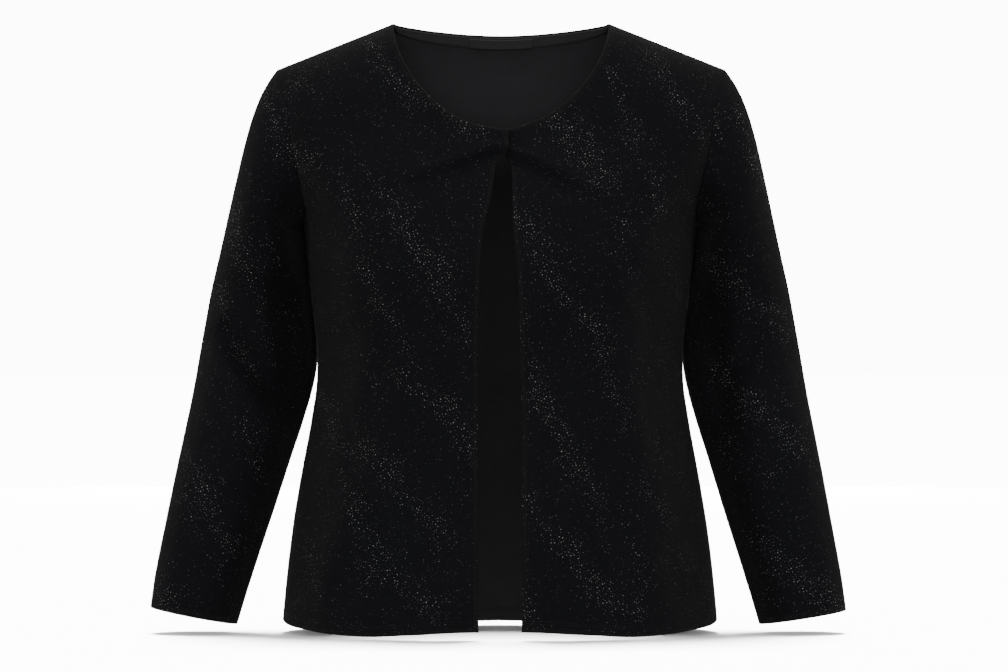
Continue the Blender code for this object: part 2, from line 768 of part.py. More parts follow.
def main():
    for thing in list(bpy.data.objects):
        bpy.data.objects.remove(thing, do_unlink=True)
    collection = bpy.data.collections.new("Knitted shrug")
    bpy.context.scene.collection.children.link(collection)

    for name, side in (("front_right", -1), ("front_left", 1)):
        front = Front(name, side)
        finish = material(name + "_knit", KNIT_BLACK, 0.85)

        def front_point(across, up, front=front):
            return front.point(1 - across if front.side < 0 else across, up)

        cloth(name, FRONT_COLUMNS, front.rows, front_point, WALL, collection, finish)

    back = Back()

    def back_point(across, up):
        return back.point(1 - across, up)

    finish = material("back_knit", KNIT_BLACK, 0.85)
    cloth("back", back.columns, back.rows, back_point, WALL, collection, finish)

    for name, side in (("sleeve_right", -1), ("sleeve_left", 1)):
        sleeve = Sleeve(name, side)

        def sleeve_point(across, up, sleeve=sleeve):
            return sleeve.point((1 - across if sleeve.side > 0 else across) % 1.0, 1 - up)

        rows = SLEEVE_CAP_ROWS + SLEEVE_TUBE_ROWS
        finish = material(name + "_knit", KNIT_BLACK, 0.85)
        cloth(name, SLEEVE_COLUMNS, rows, sleeve_point, WALL, collection, finish, closed=True)

    neck_trim(
        back,
        collection,
        material("tape_knit", INSIDE_BLACK, 0.8),
        material("label_satin", LABEL_BLACK, 0.5),
    )
    hook_and_eye(collection, material("hook_enamel", HOOK_BLACK, 0.4, 0.8))


main()
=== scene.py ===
import math

import bpy
import numpy as np
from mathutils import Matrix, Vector


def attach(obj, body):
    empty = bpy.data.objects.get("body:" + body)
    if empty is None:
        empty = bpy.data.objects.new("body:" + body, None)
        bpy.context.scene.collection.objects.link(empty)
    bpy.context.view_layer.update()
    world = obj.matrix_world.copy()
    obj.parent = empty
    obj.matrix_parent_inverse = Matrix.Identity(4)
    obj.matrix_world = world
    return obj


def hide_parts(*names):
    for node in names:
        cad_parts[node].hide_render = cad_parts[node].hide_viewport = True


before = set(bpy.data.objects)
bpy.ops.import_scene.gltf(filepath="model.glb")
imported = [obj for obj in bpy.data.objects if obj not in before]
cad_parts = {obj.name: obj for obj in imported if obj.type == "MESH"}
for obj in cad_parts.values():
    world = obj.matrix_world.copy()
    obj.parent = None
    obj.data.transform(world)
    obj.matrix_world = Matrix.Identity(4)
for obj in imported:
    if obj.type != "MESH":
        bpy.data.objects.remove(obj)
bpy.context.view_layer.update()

print("frame loaded:", len(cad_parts), "nodes")


# small tools for cloth that is worked out in arrays

def table(columns, *rows):
    return dict(zip(columns.split(), np.array(rows, float).T))


def smooth(rows, key, column):
    # a curve through one column of a table that never overshoots its rows
    order = np.argsort(rows[key])
    places, values = rows[key][order], rows[column][order]
    steps = np.diff(places)
    slopes = np.diff(values) / steps
    same = slopes[:-1] * slopes[1:] > 0
    total = np.where(same, slopes[:-1] + slopes[1:], 1)
    middle = np.where(same, 2 * slopes[:-1] * slopes[1:] / total, 0)
    bends = np.concatenate([slopes[:1], middle, slopes[-1:]])

    def at(x):
        x = np.clip(x, places[0], places[-1])
        i = np.clip(np.searchsorted(places, x, side="right") - 1, 0, len(steps) - 1)
        t = (x - places[i]) / steps[i]
        return (
            (2 * t**3 - 3 * t**2 + 1) * values[i]
            + (t**3 - 2 * t**2 + t) * steps[i] * bends[i]
            + (3 * t**2 - 2 * t**3) * values[i + 1]
            + (t**3 - t**2) * steps[i] * bends[i + 1]
        )

    return at


def ease(value, low, high):
    share = np.clip((value - low) / (high - low), 0, 1)
    return share * share * (3 - 2 * share)


def bell(value, middle, width):
    return np.exp(-(((value - middle) / width) ** 2))


def curveAt(rows, place):
    # a smooth curve through rows: 0 is the first row and 1 the second
    number = np.clip(np.floor(place).astype(int), 0, len(rows) - 2)
    a, b, c, d = (rows[np.clip(number + k, 0, len(rows) - 1)] for k in (-1, 0, 1, 2))
    t = (place - number)[..., None]
    return 0.5 * (2 * b + (c - a) * t + (2 * a - 5 * b + 4 * c - d) * t**2 + (3 * b - a - 3 * c + d) * t**3)


def mix(a, b, share):
    return a + (b - a) * np.asarray(share)[..., None]


def runOf(points):
    # the length walked along a row of points, from 0
    steps = np.linalg.norm(np.diff(points, axis=0), axis=-1)
    return np.concatenate([np.zeros_like(steps[:1]), np.cumsum(steps, axis=0)])


def unit(vectors):
    return vectors / np.maximum(np.linalg.norm(vectors, axis=-1, keepdims=True), 1e-12)


# the form of the body that the panels lie on

body = {
    "wall": 0.0014,
    "seamGap": 0.0003,
    "neckHalfWidth": 0.108,
    "frontNeckDrop": 0.1115,
    "frontNeckRoundness": 1.74,
    "backNeckDrop": 0.0086,
    "backNeckRoundness": 1.7,
    "shoulderTipX": 0.223,
    "shoulderTipZ": -0.0457,
    "shoulderRoll": 0.075,
    "lean": 0.0011,
    "leanFootZ": -0.300,
    "leanTopZ": -0.030,
    "underarmZ": -0.2010,
    "settleRounds": 14,
    "normalStep": 0.004,
    "neckTrim": 0.002,
    "seamSteps": {"armhole": 113, "hem": 161, "shoulder": 25, "neck": 97, "yoke": 81, "backYoke": 97},
    "seamCrowding": 0.6,
    # the slight unevenness of cloth that hangs free: its height at one wave length, the wave lengths,
    # their slant and bend, and the depths between which it fades in
    "rippleHeight": 0.00035,
    "rippleAt": 0.05,
    "rippleLengths": (0.085, 0.062, 0.047, 0.034, 0.026),
    "rippleSlant": 0.5,
    "rippleBend": 0.4,
    "rippleBendLength": 2.7,
    "rippleFade": (0.14, 0.30),
    "rings": table(
        "z halfWidth front back squareness",
        (0.0300, 0.2500, 0.064, 0.064, 2.60),
        (-0.0480, 0.2480, 0.082, 0.080, 2.60),
        (-0.1100, 0.2340, 0.099, 0.096, 2.60),
        (-0.1600, 0.2120, 0.121, 0.104, 2.50),
        (-0.2010, 0.1970, 0.134, 0.105, 2.40),
        (-0.2400, 0.1925, 0.139, 0.103, 2.35),
        (-0.2900, 0.1858, 0.136, 0.099, 2.30),
        (-0.3260, 0.1822, 0.132, 0.097, 2.30),
        (-0.3560, 0.1830, 0.130, 0.097, 2.30),
        (-0.3960, 0.1885, 0.128, 0.099, 2.28),
        (-0.4560, 0.1995, 0.127, 0.104, 2.25),
        (-0.5060, 0.2075, 0.126, 0.108, 2.25),
        (-0.5560, 0.2135, 0.126, 0.111, 2.25),
        (-0.6200, 0.2193, 0.127, 0.114, 2.25),
    ),
    # around runs from 0 at the centre line to 1 at the side seam
    "armhole": table(
        "z around",
        (-0.2010, 1.000),
        (-0.1975, 0.900),
        (-0.1870, 0.830),
        (-0.1650, 0.782),
        (-0.1310, 0.723),
        (-0.0880, 0.680),
        (-0.0640, 0.690),
        (-0.0462, 0.712),
    ),
}
halfWidth, frontDepth, backDepth, squareness = (
    smooth(body["rings"], "z", column) for column in ("halfWidth", "front", "back", "squareness")
)


def ridgeHeight(x):
    width = body["neckHalfWidth"]
    slope = -body["shoulderTipZ"] / (body["shoulderTipX"] - width)
    arch = slope * width / 2 * (1 - (x / width) ** 2)
    return np.where(np.abs(x) >= width, -slope * (np.abs(x) - width), arch)


def dropOf(down):
    roll = body["shoulderRoll"]
    bent = roll * (1 - np.cos(np.minimum(down, roll * math.pi / 2) / roll))
    return np.where(down < roll * math.pi / 2, bent, roll + down - roll * math.pi / 2)


def downOf(drop):
    roll = body["shoulderRoll"]
    bent = roll * np.arccos(1 - np.clip(drop, 0, roll) / roll)
    return np.where(drop < roll, bent, roll * (math.pi / 2 - 1) + drop)


def torsoPoint(around, down, facing):
    turn = np.sin(around * np.pi / 2)
    z = -down
    for _ in range(body["settleRounds"]):
        x = halfWidth(z) * turn
        z = ridgeHeight(x) - dropOf(down)
    standOut = frontDepth(z) if facing < 0 else backDepth(z)
    power = squareness(z)
    roll = np.sin(np.minimum(down / body["shoulderRoll"], np.pi / 2))
    arc = np.maximum(0, 1 - np.abs(turn) ** power) ** (1 / power)
    return np.stack([x, facing * (standOut * roll * arc + body["seamGap"] / 2), z], -1)


def torsoNormal(around, down, facing):
    step = body["normalStep"]
    side = torsoPoint(around + step, down, facing) - torsoPoint(around - step, down, facing)
    above = torsoPoint(around, np.maximum(0, down - step), facing)
    along = torsoPoint(around, down + step, facing) - above
    normal = unit(np.cross(side, along))
    return np.where(normal[..., 1:2] * facing > 0, normal, -normal)


def aroundOf(x, z):
    return np.arcsin(np.clip(x / halfWidth(z), -1, 1)) * 2 / np.pi


def placeOf(x, z):
    return np.stack([aroundOf(x, z), downOf(ridgeHeight(x) - z)], -1)


def placeAtTurn(around, z):
    x = halfWidth(z) * np.sin(around * np.pi / 2)
    around, down = np.broadcast_arrays(around, downOf(ridgeHeight(x) - z))
    return np.stack([around, down], -1)


def lean(points):
    points = points.copy()
    points[..., 0] += body["lean"] * ease(points[..., 2], body["leanFootZ"], body["leanTopZ"])
    return points


class Seam:
    # a line over the body through (around, down) places, walked by share of its length
    def __init__(self, places, facing):
        self.places = np.array(places, float)
        self.lengths = runOf(torsoPoint(*self.places.T, facing))

    def at(self, share):
        goal = np.asarray(share) * self.lengths[-1]
        return np.stack([np.interp(goal, self.lengths, column) for column in self.places.T], -1)


def armholeSeam(facing, side=1):
    rows = np.stack([body["armhole"]["z"], body["armhole"]["around"]], -1)
    z, around = curveAt(rows, np.linspace(0, len(rows) - 1, body["seamSteps"]["armhole"])[:-1]).T
    tip = aroundOf(body["shoulderTipX"], body["shoulderTipZ"])
    return Seam([*placeAtTurn(side * around, z), (side * tip, 0)], facing)


def hemSeam(facing, hem, start, end):
    around = np.linspace(start, end, body["seamSteps"]["hem"])
    return Seam(placeAtTurn(around, smooth(hem, "around", "z")(np.abs(around))), facing)


def shoulderSeam(facing, side):
    x = np.linspace(body["neckHalfWidth"], body["shoulderTipX"], body["seamSteps"]["shoulder"])
    return Seam(np.stack([side * aroundOf(x, ridgeHeight(x)), np.zeros_like(x)], -1), facing)


def frontNeckSeam(side, startX):
    power = 2 / body["frontNeckRoundness"]
    angle = np.linspace(0, math.pi / 2, body["seamSteps"]["neck"])
    x = side * body["neckHalfWidth"] * np.sin(angle) ** power
    z = -body["frontNeckDrop"] * np.cos(angle) ** power
    beyond = (x - startX) * side > body["neckTrim"]
    places = placeOf(np.append(startX, x[beyond]), np.append(-body["frontNeckDrop"], z[beyond]))
    places[-1, 1] = 0
    return Seam(places, -1)


def backNeckSeam():
    share = np.linspace(-1, 1, body["seamSteps"]["neck"])
    z = -body["backNeckDrop"] * (1 - np.abs(share) ** body["backNeckRoundness"])
    places = placeOf(share * body["neckHalfWidth"], z)
    places[[0, -1], 1] = 0
    return Seam(places, 1)


def patch(first, second, hem, top, across, up):
    # a place between two side places and two seams, whose corners meet them
    sides = mix(first, second, across)
    ends = mix(hem.at(across), top.at(across), up)
    corners = mix(mix(hem.at(0), hem.at(1), across), mix(top.at(0), top.at(1), across), up)
    place = sides + ends - corners
    return np.stack([place[..., 0], np.maximum(0, place[..., 1])], -1)


def crowded(share):
    # shares that lie closer together at both ends of a seam
    return share - body["seamCrowding"] * np.sin(2 * math.pi * share) / (2 * math.pi)


def shareAlong(x, z, x0, z0, runX, runZ):
    # how far along a line from x0, z0 each place lies: 0 at its start and 1 at its end
    return ((x - x0) * runX + (z - z0) * runZ) / (runX**2 + runZ**2)


def straightFolds(folds, x, z):
    # a soft ridge (rise above 0) or trough along each line, dying away at both ends
    rise = np.zeros_like(x)
    for x0, z0, x1, z1, height, width in zip(*(folds[c] for c in "x0 z0 x1 z1 rise width".split())):
        runX, runZ = x1 - x0, z1 - z0
        share = shareAlong(x, z, x0, z0, runX, runZ)
        off = np.abs((x - x0) * runZ - (z - z0) * runX) / math.hypot(runX, runZ)
        along = np.clip(1 - (2 * share - 1) ** 4, 0, 1)
        rise += height * np.exp(-((off / width) ** 2)) * along
    return rise


def ripple(x, z, seed):
    rng = np.random.default_rng(seed)
    rise = np.zeros_like(x)
    for length in body["rippleLengths"]:
        angle = rng.uniform(-body["rippleSlant"], body["rippleSlant"])
        phase = rng.uniform(0, 2 * math.pi, 2)
        bend = body["rippleBend"] * np.sin(z * 2 * math.pi / (length * body["rippleBendLength"]) + phase[0])
        height = body["rippleHeight"] * length / body["rippleAt"]
        rise += height * np.sin((x + z * angle) * 2 * math.pi / length + phase[1] + bend)
    return rise * ease(-z, *body["rippleFade"])


class Panel:
    # cloth that lies on the body, walked by its share across and its share up
    def place(self, across, up):
        # above the body rows the cloth runs between its two upper sides, below them as lower says
        row = up * self.rows
        share = crowded(np.clip((row - self.bodyRows) / (self.rows - self.bodyRows), 0, 1))
        high = patch(*[side.at(share) for side in self.sides], self.yoke, self.top, across, share)
        return np.where((row > self.bodyRows)[..., None], high, self.lower(row, across))

    def shift(self, around, down):
        return around, down

    def point(self, across, up, out=0.0):
        across, up = np.broadcast_arrays(np.asarray(across, float), np.asarray(up, float))
        around, down = self.shift(*np.moveaxis(self.place(across, up), -1, 0))
        base = torsoPoint(around, down, self.facing)
        rise = self.rise(base[..., 0], base[..., 2], across)
        normal = torsoNormal(around, down, self.facing)
        return lean(base + normal * (rise + out)[..., None]), around, down


# the two fronts

fronts = {
    "hem": table(
        "around z",
        (0.00, -0.6002),
        (0.12, -0.6012),
        (0.26, -0.6038),
        (0.41, -0.6061),
        (0.56, -0.6042),
        (0.68, -0.6014),
        (0.82, -0.5985),
        (1.00, -0.5940),
    ),
    "edges": {
        "front_right": table(
            "z x",
            (-0.6200, -0.0214),
            (-0.4500, -0.0218),
            (-0.3090, -0.0214),
            (-0.2350, -0.0192),
            (-0.2090, -0.0172),
            (-0.1790, -0.0100),
            (-0.1420, -0.0048),
            (-0.1000, -0.0010),
        ),
        "front_left": table(
            "z x",
            (-0.6200, 0.0217),
            (-0.4500, 0.0220),
            (-0.3090, 0.0197),
            (-0.2450, 0.0170),
            (-0.2150, 0.0140),
            (-0.1790, 0.0126),
            (-0.1420, 0.0108),
            (-0.1000, 0.0080),
        ),
    },
    # below this line the rows of knit start at the centre edge, above it at the neckline
    "yoke": table("x z", (0.0350, -0.1310), (0.0750, -0.1600), (0.1200, -0.1900), (0.1620, -0.2090)),
    "bands": table(
        "rows centreZ sideZ",
        (0, -0.6002, -0.5940),
        (8, -0.2700, -0.3200),
        (12, -0.1800, -0.2550),
        (23, -0.1115, -0.2010),
    ),
    "yokeRows": 12,
    "lap": {
        "front_right": {"reach": 0.0070, "foot": -0.1430, "top": -0.1290, "layer": 1, "slope": 0.42},
        "front_left": {"reach": 0.0020, "foot": -0.1460, "top": -0.1240, "layer": -1, "slope": 0.56},
    },
    "lapStretch": 0.045,
    "closureZ": -0.122,
    "closureLift": 0.0030,
    "closureSpread": 0.028,
    "grooveZ": -0.1355,
    "grooveDepth": 0.0072,
    "grooveWidth": 0.0066,
    "ridgeRise": 0.0052,
    "ridgeWidth": 0.0046,
    "ridgeAbove": 0.0070,
    "drapeBend": 0.015,
    "drapeWiden": 0.110,
    "drapeStart": 0.030,
    "drapeReach": 0.138,
    # folds fade out between these shares across, towards the side seam
    "flatNearSide": (0.82, 1.0),
    "rippleSeeds": {"front_right": 11, "front_left": 12},
    "folds": {
        "front_right": table(
            "x0 z0 x1 z1 rise width",
            (-0.152, -0.300, -0.163, -0.450, -0.0030, 0.020),
            (-0.078, -0.470, -0.070, -0.680, 0.0042, 0.024),
            (-0.165, -0.500, -0.176, -0.680, 0.0034, 0.020),
        ),
        "front_left": table(
            "x0 z0 x1 z1 rise width",
            (0.150, -0.240, 0.160, -0.470, -0.0026, 0.018),
            (0.062, -0.460, 0.056, -0.680, 0.0040, 0.022),
            (0.140, -0.500, 0.150, -0.680, 0.0034, 0.022),
        ),
    },
    "columns": 90,
    "rows": 140,
    # how many points each edge line has, those left off the stitches' ends, and the shares that the
    # seams behind the cloth run between
    "edgeSteps": 260,
    "edgeStitchTrim": (3, -6),
    "neckSteps": 120,
    "sideSeamFoot": 0.006,
    "sideSeamSteps": 90,
    "shoulderSeamSpan": (0.04, 0.99, 40),
}


class Front(Panel):
    facing = -1

    def __init__(self, name, side):
        self.name, self.side = name, side
        self.lap = fronts["lap"][name]
        self.edgeX = smooth(fronts["edges"][name], "z", "x")
        self.hemZ, self.neckZ = fronts["hem"]["z"][0], -body["frontNeckDrop"]
        self.bodyRows = fronts["bands"]["rows"][-1]
        self.rows = self.bodyRows + fronts["yokeRows"]
        self.hem = hemSeam(-1, fronts["hem"], aroundOf(self.edgeX(self.hemZ), self.hemZ), side)
        startX = float(self.edgeX(self.neckZ))
        yokeZ = np.append(self.neckZ, fronts["yoke"]["z"])
        yoke = placeOf(np.append(startX, side * fronts["yoke"]["x"]), yokeZ)
        yoke = np.vstack([yoke, placeAtTurn(float(side), body["underarmZ"])])
        self.yoke = Seam(curveAt(yoke, np.linspace(0, len(yoke) - 1, body["seamSteps"]["yoke"])), -1)
        self.sides = frontNeckSeam(side, startX), armholeSeam(-1, side)
        self.top = shoulderSeam(-1, side)

    def lower(self, row, across):
        bands = fronts["bands"]
        centreZ, sideZ = (np.interp(row, bands["rows"], bands[key]) for key in ("centreZ", "sideZ"))
        first = placeOf(self.edgeX(centreZ), centreZ)
        second = placeAtTurn(np.full_like(sideZ, self.side), sideZ)
        share = (centreZ - self.hemZ) / (self.neckZ - self.hemZ)
        return patch(first, second, self.hem, self.yoke, across, share)

    def shift(self, around, down):
        # near the closure the front edge moves across, so that the tips lap
        x, _, z = np.moveaxis(torsoPoint(around, down, -1), -1, 0)
        plain = self.edgeX(z)
        near = 1 - ease(np.abs(x - plain), 0, fronts["lapStretch"])
        shift = (self.lap["reach"] - plain) * near * ease(z, self.lap["foot"], self.lap["top"])
        return around + shift / (halfWidth(z) * math.pi / 2), down

    def drape(self, x, z):
        # the roll of cloth that runs from the lap out along the neckline, the groove under it,
        # and the lift of the upper layer over the lower one at the hook
        out = np.abs(x)
        above = z - (fronts["grooveZ"] - self.lap["slope"] * out * out / (out + fronts["drapeBend"]))
        widen = 1 + out / fronts["drapeWiden"]
        ridge = bell(above, fronts["ridgeAbove"] * widen, fronts["ridgeWidth"] * widen)
        groove = bell(above, 0, fronts["grooveWidth"] * widen)
        fold = fronts["ridgeRise"] * ridge - fronts["grooveDepth"] * groove
        away = np.hypot(x, z - fronts["closureZ"]) / fronts["closureSpread"]
        lift = self.lap["layer"] * fronts["closureLift"] * np.exp(-away * away)
        return (1 - ease(out, fronts["drapeStart"], fronts["drapeReach"])) * fold + lift

    def rise(self, x, z, across):
        folds = straightFolds(fronts["folds"][self.name], x, z) + self.drape(x, z)
        folds += ripple(x, z, fronts["rippleSeeds"][self.name])
        return folds * (1 - ease(across, *fronts["flatNearSide"]))


# the back

backCut = {
    "hem": table("around z", (0.00, -0.6040), (0.45, -0.6045), (0.80, -0.5995), (1.00, -0.5940)),
    "yokeDip": 0.018,
    "yokeDipRoundness": 0.8,
    # folds fade out between these shares of the way from the middle to a side seam
    "flatNearSides": (0.86, 1.0),
    "rippleSeed": 13,
    "neckSteps": 200,
    "neckShare": 14 / 26,
    "bodyRows": 12,
    "yokeRows": 12,
    "folds": table(
        "x0 z0 x1 z1 rise width",
        (-0.105, -0.300, -0.120, -0.680, 0.0050, 0.026),
        (0.010, -0.360, 0.004, -0.680, 0.0040, 0.028),
        (0.118, -0.290, 0.126, -0.680, 0.0050, 0.025),
    ),
    "columns": 150,
    "rows": 130,
}


class Back(Panel):
    facing = 1

    def __init__(self):
        self.bodyRows = backCut["bodyRows"]
        self.rows = self.bodyRows + backCut["yokeRows"]
        self.hem = hemSeam(1, backCut["hem"], -1, 1)
        around = np.linspace(-1, 1, body["seamSteps"]["backYoke"])
        dip = backCut["yokeDip"] * np.abs(np.sin(around * math.pi)) ** backCut["yokeDipRoundness"]
        self.yoke = Seam(placeAtTurn(around, body["underarmZ"] - dip), 1)
        self.neck = backNeckSeam()
        self.shoulders = [shoulderSeam(1, side) for side in (-1, 1)]
        self.sides = [armholeSeam(1, side) for side in (-1, 1)]
        self.edge = (1 - backCut["neckShare"]) / 2
        # its own at walks the top edge
        self.top = self

    def at(self, across):
        # the top edge: shoulder seam, neckline, shoulder seam
        across = np.asarray(across, float)
        right = self.shoulders[0].at(np.clip(1 - across / self.edge, 0, 1))
        left = self.shoulders[1].at(np.clip(1 - (1 - across) / self.edge, 0, 1))
        neck = self.neck.at(np.clip((across - self.edge) / (1 - 2 * self.edge), 0, 1))
        onRight, onLeft = ((a < self.edge)[..., None] for a in (across, 1 - across))
        return np.where(onRight, right, np.where(onLeft, left, neck))

    def lower(self, row, across):
        share = np.clip(row / self.bodyRows, 0, 1)
        hemZ = backCut["hem"]["z"][-1]
        z = hemZ + (body["underarmZ"] - hemZ) * share
        sides = [placeAtTurn(np.full_like(z, side), z) for side in (-1, 1)]
        return patch(*sides, self.hem, self.yoke, across, share)

    def rise(self, x, z, across):
        folds = straightFolds(backCut["folds"], x, z) + ripple(x, z, backCut["rippleSeed"])
        return folds * (1 - ease(np.abs(2 * across - 1), *backCut["flatNearSides"]))


# the sleeves

sleeves = {
    "rings": table(
        "innerX innerZ outerX outerZ depth y squareness",
        (0.1968, -0.2120, 0.2715, -0.1890, 0.068, 0.004, 2.15),
        (0.1922, -0.2480, 0.2808, -0.2280, 0.066, 0.014, 2.12),
        (0.1868, -0.2850, 0.2902, -0.2660, 0.062, 0.026, 2.10),
        (0.1830, -0.3230, 0.2970, -0.3020, 0.058, 0.028, 2.08),
        (0.1866, -0.3570, 0.3022, -0.3320, 0.056, 0.026, 2.06),
        (0.1972, -0.3960, 0.3086, -0.3700, 0.054, 0.020, 2.05),
        (0.2096, -0.4340, 0.3162, -0.4080, 0.051, 0.013, 2.05),
        (0.2232, -0.4770, 0.3252, -0.4520, 0.047, 0.005, 2.05),
        (0.2386, -0.5240, 0.3350, -0.5020, 0.042, -0.003, 2.05),
        (0.2526, -0.5680, 0.3438, -0.5480, 0.038, -0.009, 2.05),
        (0.2618, -0.5990, 0.3486, -0.5825, 0.035, -0.012, 2.05),
    ),
    # how far each cuff swings in, and how much lower its outer end hangs
    "swing": {
        "sleeve_right": {"x": 0.0, "outerZ": 0.0004},
        "sleeve_left": {"x": -0.0034, "outerZ": -0.0026},
    },
    "swingTopZ": -0.3300,
    "swingFootZ": -0.5900,
    # under the arm the sleeve lies against the side and a little behind it
    "tuckIn": 0.0023,
    "tuckBack": 0.0120,
    "tuckRings": 2.0,
    "armholeGap": 0.0005,
    "capStart": 0.25,
    "capStartSides": 0.30,
    "capEnd": 0.45,
    "capTurn": 0.6,
    "capTurnPower": 16,
    "capFollowPower": 4,
    "capCrowding": 1.4,
    "runAhead": 0.2,
    "creaseFade": 0.7,
    # the shares that the armhole's seam and the underarm's run between, and how many points each has
    "armholeSpan": (0.02, 0.99, 90),
    "underarmSpan": (0.03, 1.985, 160),
    # face is -1 on the sleeve's front and 1 on its back
    "creases": {
        "sleeve_right": table(
            "face x0 z0 x1 z1 rise width",
            (-1, 0.281, -0.296, 0.196, -0.402, -0.0160, 0.014),
            (-1, 0.212, -0.245, 0.203, -0.405, -0.0120, 0.015),
            (-1, 0.292, -0.318, 0.205, -0.425, 0.0040, 0.010),
            (1, 0.290, -0.300, 0.200, -0.375, -0.0040, 0.013),
            (1, 0.290, -0.345, 0.205, -0.415, -0.0036, 0.013),
        ),
        "sleeve_left": table(
            "face x0 z0 x1 z1 rise width",
            (-1, 0.203, -0.265, 0.226, -0.440, -0.0135, 0.017),
            (-1, 0.262, -0.300, 0.216, -0.380, -0.0050, 0.011),
            (1, 0.288, -0.305, 0.200, -0.372, -0.0042, 0.013),
            (1, 0.292, -0.352, 0.208, -0.425, -0.0034, 0.013),
        ),
    },
    "girth": 0.330,
    "capRows": 36,
    "tubeRows": 106,
    "columns": 112,
}


class Sleeve:
    def __init__(self, name, side):
        self.name, self.side = name, side
        self.swing = sleeves["swing"][name]
        self.frontArmhole = armholeSeam(-1)
        self.backArmhole = armholeSeam(1)
        self.rings = np.stack(list(sleeves["rings"].values()), -1)

    def ringPoint(self, ring, angle):
        ring, angle = np.broadcast_arrays(np.asarray(ring, float), angle)
        innerX, innerZ, outerX, outerZ, depth, y, square = np.moveaxis(curveAt(self.rings, ring), -1, 0)
        outward = np.sign(np.cos(angle)) * np.abs(np.cos(angle)) ** (2 / square)
        forward = np.sign(np.sin(angle)) * np.abs(np.sin(angle)) ** (2 / square)
        x = (innerX + outerX) / 2 + outward * (outerX - innerX) / 2
        z = (innerZ + outerZ) / 2 + outward * (outerZ - innerZ) / 2
        share = ease(-z, -sleeves["swingTopZ"], -sleeves["swingFootZ"])
        x = x + self.swing["x"] * share
        z = z + self.swing["outerZ"] * share * (1 + outward) / 2
        tuck = (1 - ease(ring, 0, sleeves["tuckRings"])) * ((1 - outward) / 2) ** 3
        x = x - sleeves["tuckIn"] * tuck
        return np.stack([x, y + sleeves["tuckBack"] * tuck - forward * depth, z], -1)

    def armholePoint(self, angle):
        starts, outs = [], []
        for facing, seam in ((-1, self.frontArmhole), (1, self.backArmhole)):
            share = crowded(np.clip(facing * (angle / math.pi - 1), 0, 1))
            around, down = np.moveaxis(seam.at(share), -1, 0)
            start = torsoPoint(around, down, facing)
            starts.append(start)
            outs.append(unit(start - torsoPoint(around - 2 * body["normalStep"], down, facing)))
        onFront = (angle <= math.pi)[..., None]
        gap = np.array([sleeves["armholeGap"], 0, 0])
        return np.where(onFront, starts[0], starts[1]) + gap, np.where(onFront, outs[0], outs[1])

    def outerPoint(self, aroundShare, along):
        angle = 2 * math.pi * aroundShare
        tube = self.ringPoint(np.maximum(0, along - 1) * (len(self.rings) - 1), angle)
        start, out = self.armholePoint(angle)
        end = self.ringPoint(0, angle)
        chord = end - start
        reach = np.linalg.norm(chord, axis=-1, keepdims=True)
        run = unit(self.ringPoint(sleeves["runAhead"], angle) - end)
        middle = np.cos(angle / 2)[..., None]
        turn = sleeves["capTurn"] * middle ** sleeves["capTurnPower"]
        follow = middle ** sleeves["capFollowPower"] * (1 - turn)
        leave = unit(out * follow + unit(chord) * (1 - follow))
        sides = np.sin(angle / 2)[..., None] ** 2
        first = sleeves["capStart"] + (sleeves["capStartSides"] - sleeves["capStart"]) * sides
        handleA = start + leave * reach * first
        handleB = end - run * reach * sleeves["capEnd"]
        t = np.clip(along, 0, 1)[..., None]
        leaving = start * (1 - t) ** 3 + handleA * 3 * t * (1 - t) ** 2
        cap = leaving + handleB * 3 * t * t * (1 - t) + end * t**3
        return np.where((along >= 1)[..., None], tube, cap)

    def armholeLine(self, inset):
        # the seam round the armhole, a little inside the cloth
        lines = []
        for facing, seam in ((-1, self.frontArmhole), (1, self.backArmhole)):
            around, down = np.moveaxis(seam.at(np.linspace(*sleeves["armholeSpan"])), -1, 0)
            lines.append(torsoPoint(around, down, facing) - torsoNormal(around, down, facing) * inset)
        points = np.vstack([lines[0], lines[1][::-1], lines[0][:1]])
        points[:, 0] *= self.side
        return lean(points)

    def point(self, aroundShare, along):
        aroundShare, along = np.broadcast_arrays(np.asarray(aroundShare, float), np.asarray(along, float))
        point = self.outerPoint(aroundShare % 1.0, along)
        creases = sleeves["creases"][self.name]
        strength = np.abs(np.sin(2 * math.pi * aroundShare)) ** sleeves["creaseFade"]
        for face in (-1, 1):
            mine = {key: column[creases["face"] == face] for key, column in creases.items()}
            onFace = (aroundShare % 1.0 <= 0.5) == (face < 0)
            push = straightFolds(mine, point[..., 0], point[..., 2])
            point[..., 1] += np.where(onFace, face * strength * push, 0)
        point[..., 0] *= self.side
        return lean(point)


# nodes, for materials and for Geometry Nodes alike

class Wire:
    # a node's output, which can stand in a sum
    def __init__(self, nodes, socket):
        self.nodes, self.socket = nodes, socket

    def output(self, name):
        return Wire(self.nodes, self.socket.node.outputs[name])

    def maths(self, operation, a, b=0.0):
        return self.nodes.add("ShaderNodeMath", {"operation": operation}, {0: a, 1: b})

    def __pow__(self, other):
        return self.maths("POWER", self, other)

    def __gt__(self, other):
        return self.maths("GREATER_THAN", self, other)

    def __lt__(self, other):
        return self.maths("LESS_THAN", self, other)

    def sine(self):
        return self.maths("SINE", self)

    def fraction(self):
        return self.maths("FRACT", self)

    def size(self):
        return self.maths("ABSOLUTE", self)


for sign, operation in (("add", "ADD"), ("sub", "SUBTRACT"), ("mul", "MULTIPLY"), ("truediv", "DIVIDE")):
    # each sign works with a number on either side of it
    setattr(Wire, f"__{sign}__", lambda a, b, kind=operation: a.maths(kind, a, b))
    setattr(Wire, f"__r{sign}__", lambda a, b, kind=operation: a.maths(kind, b, a))


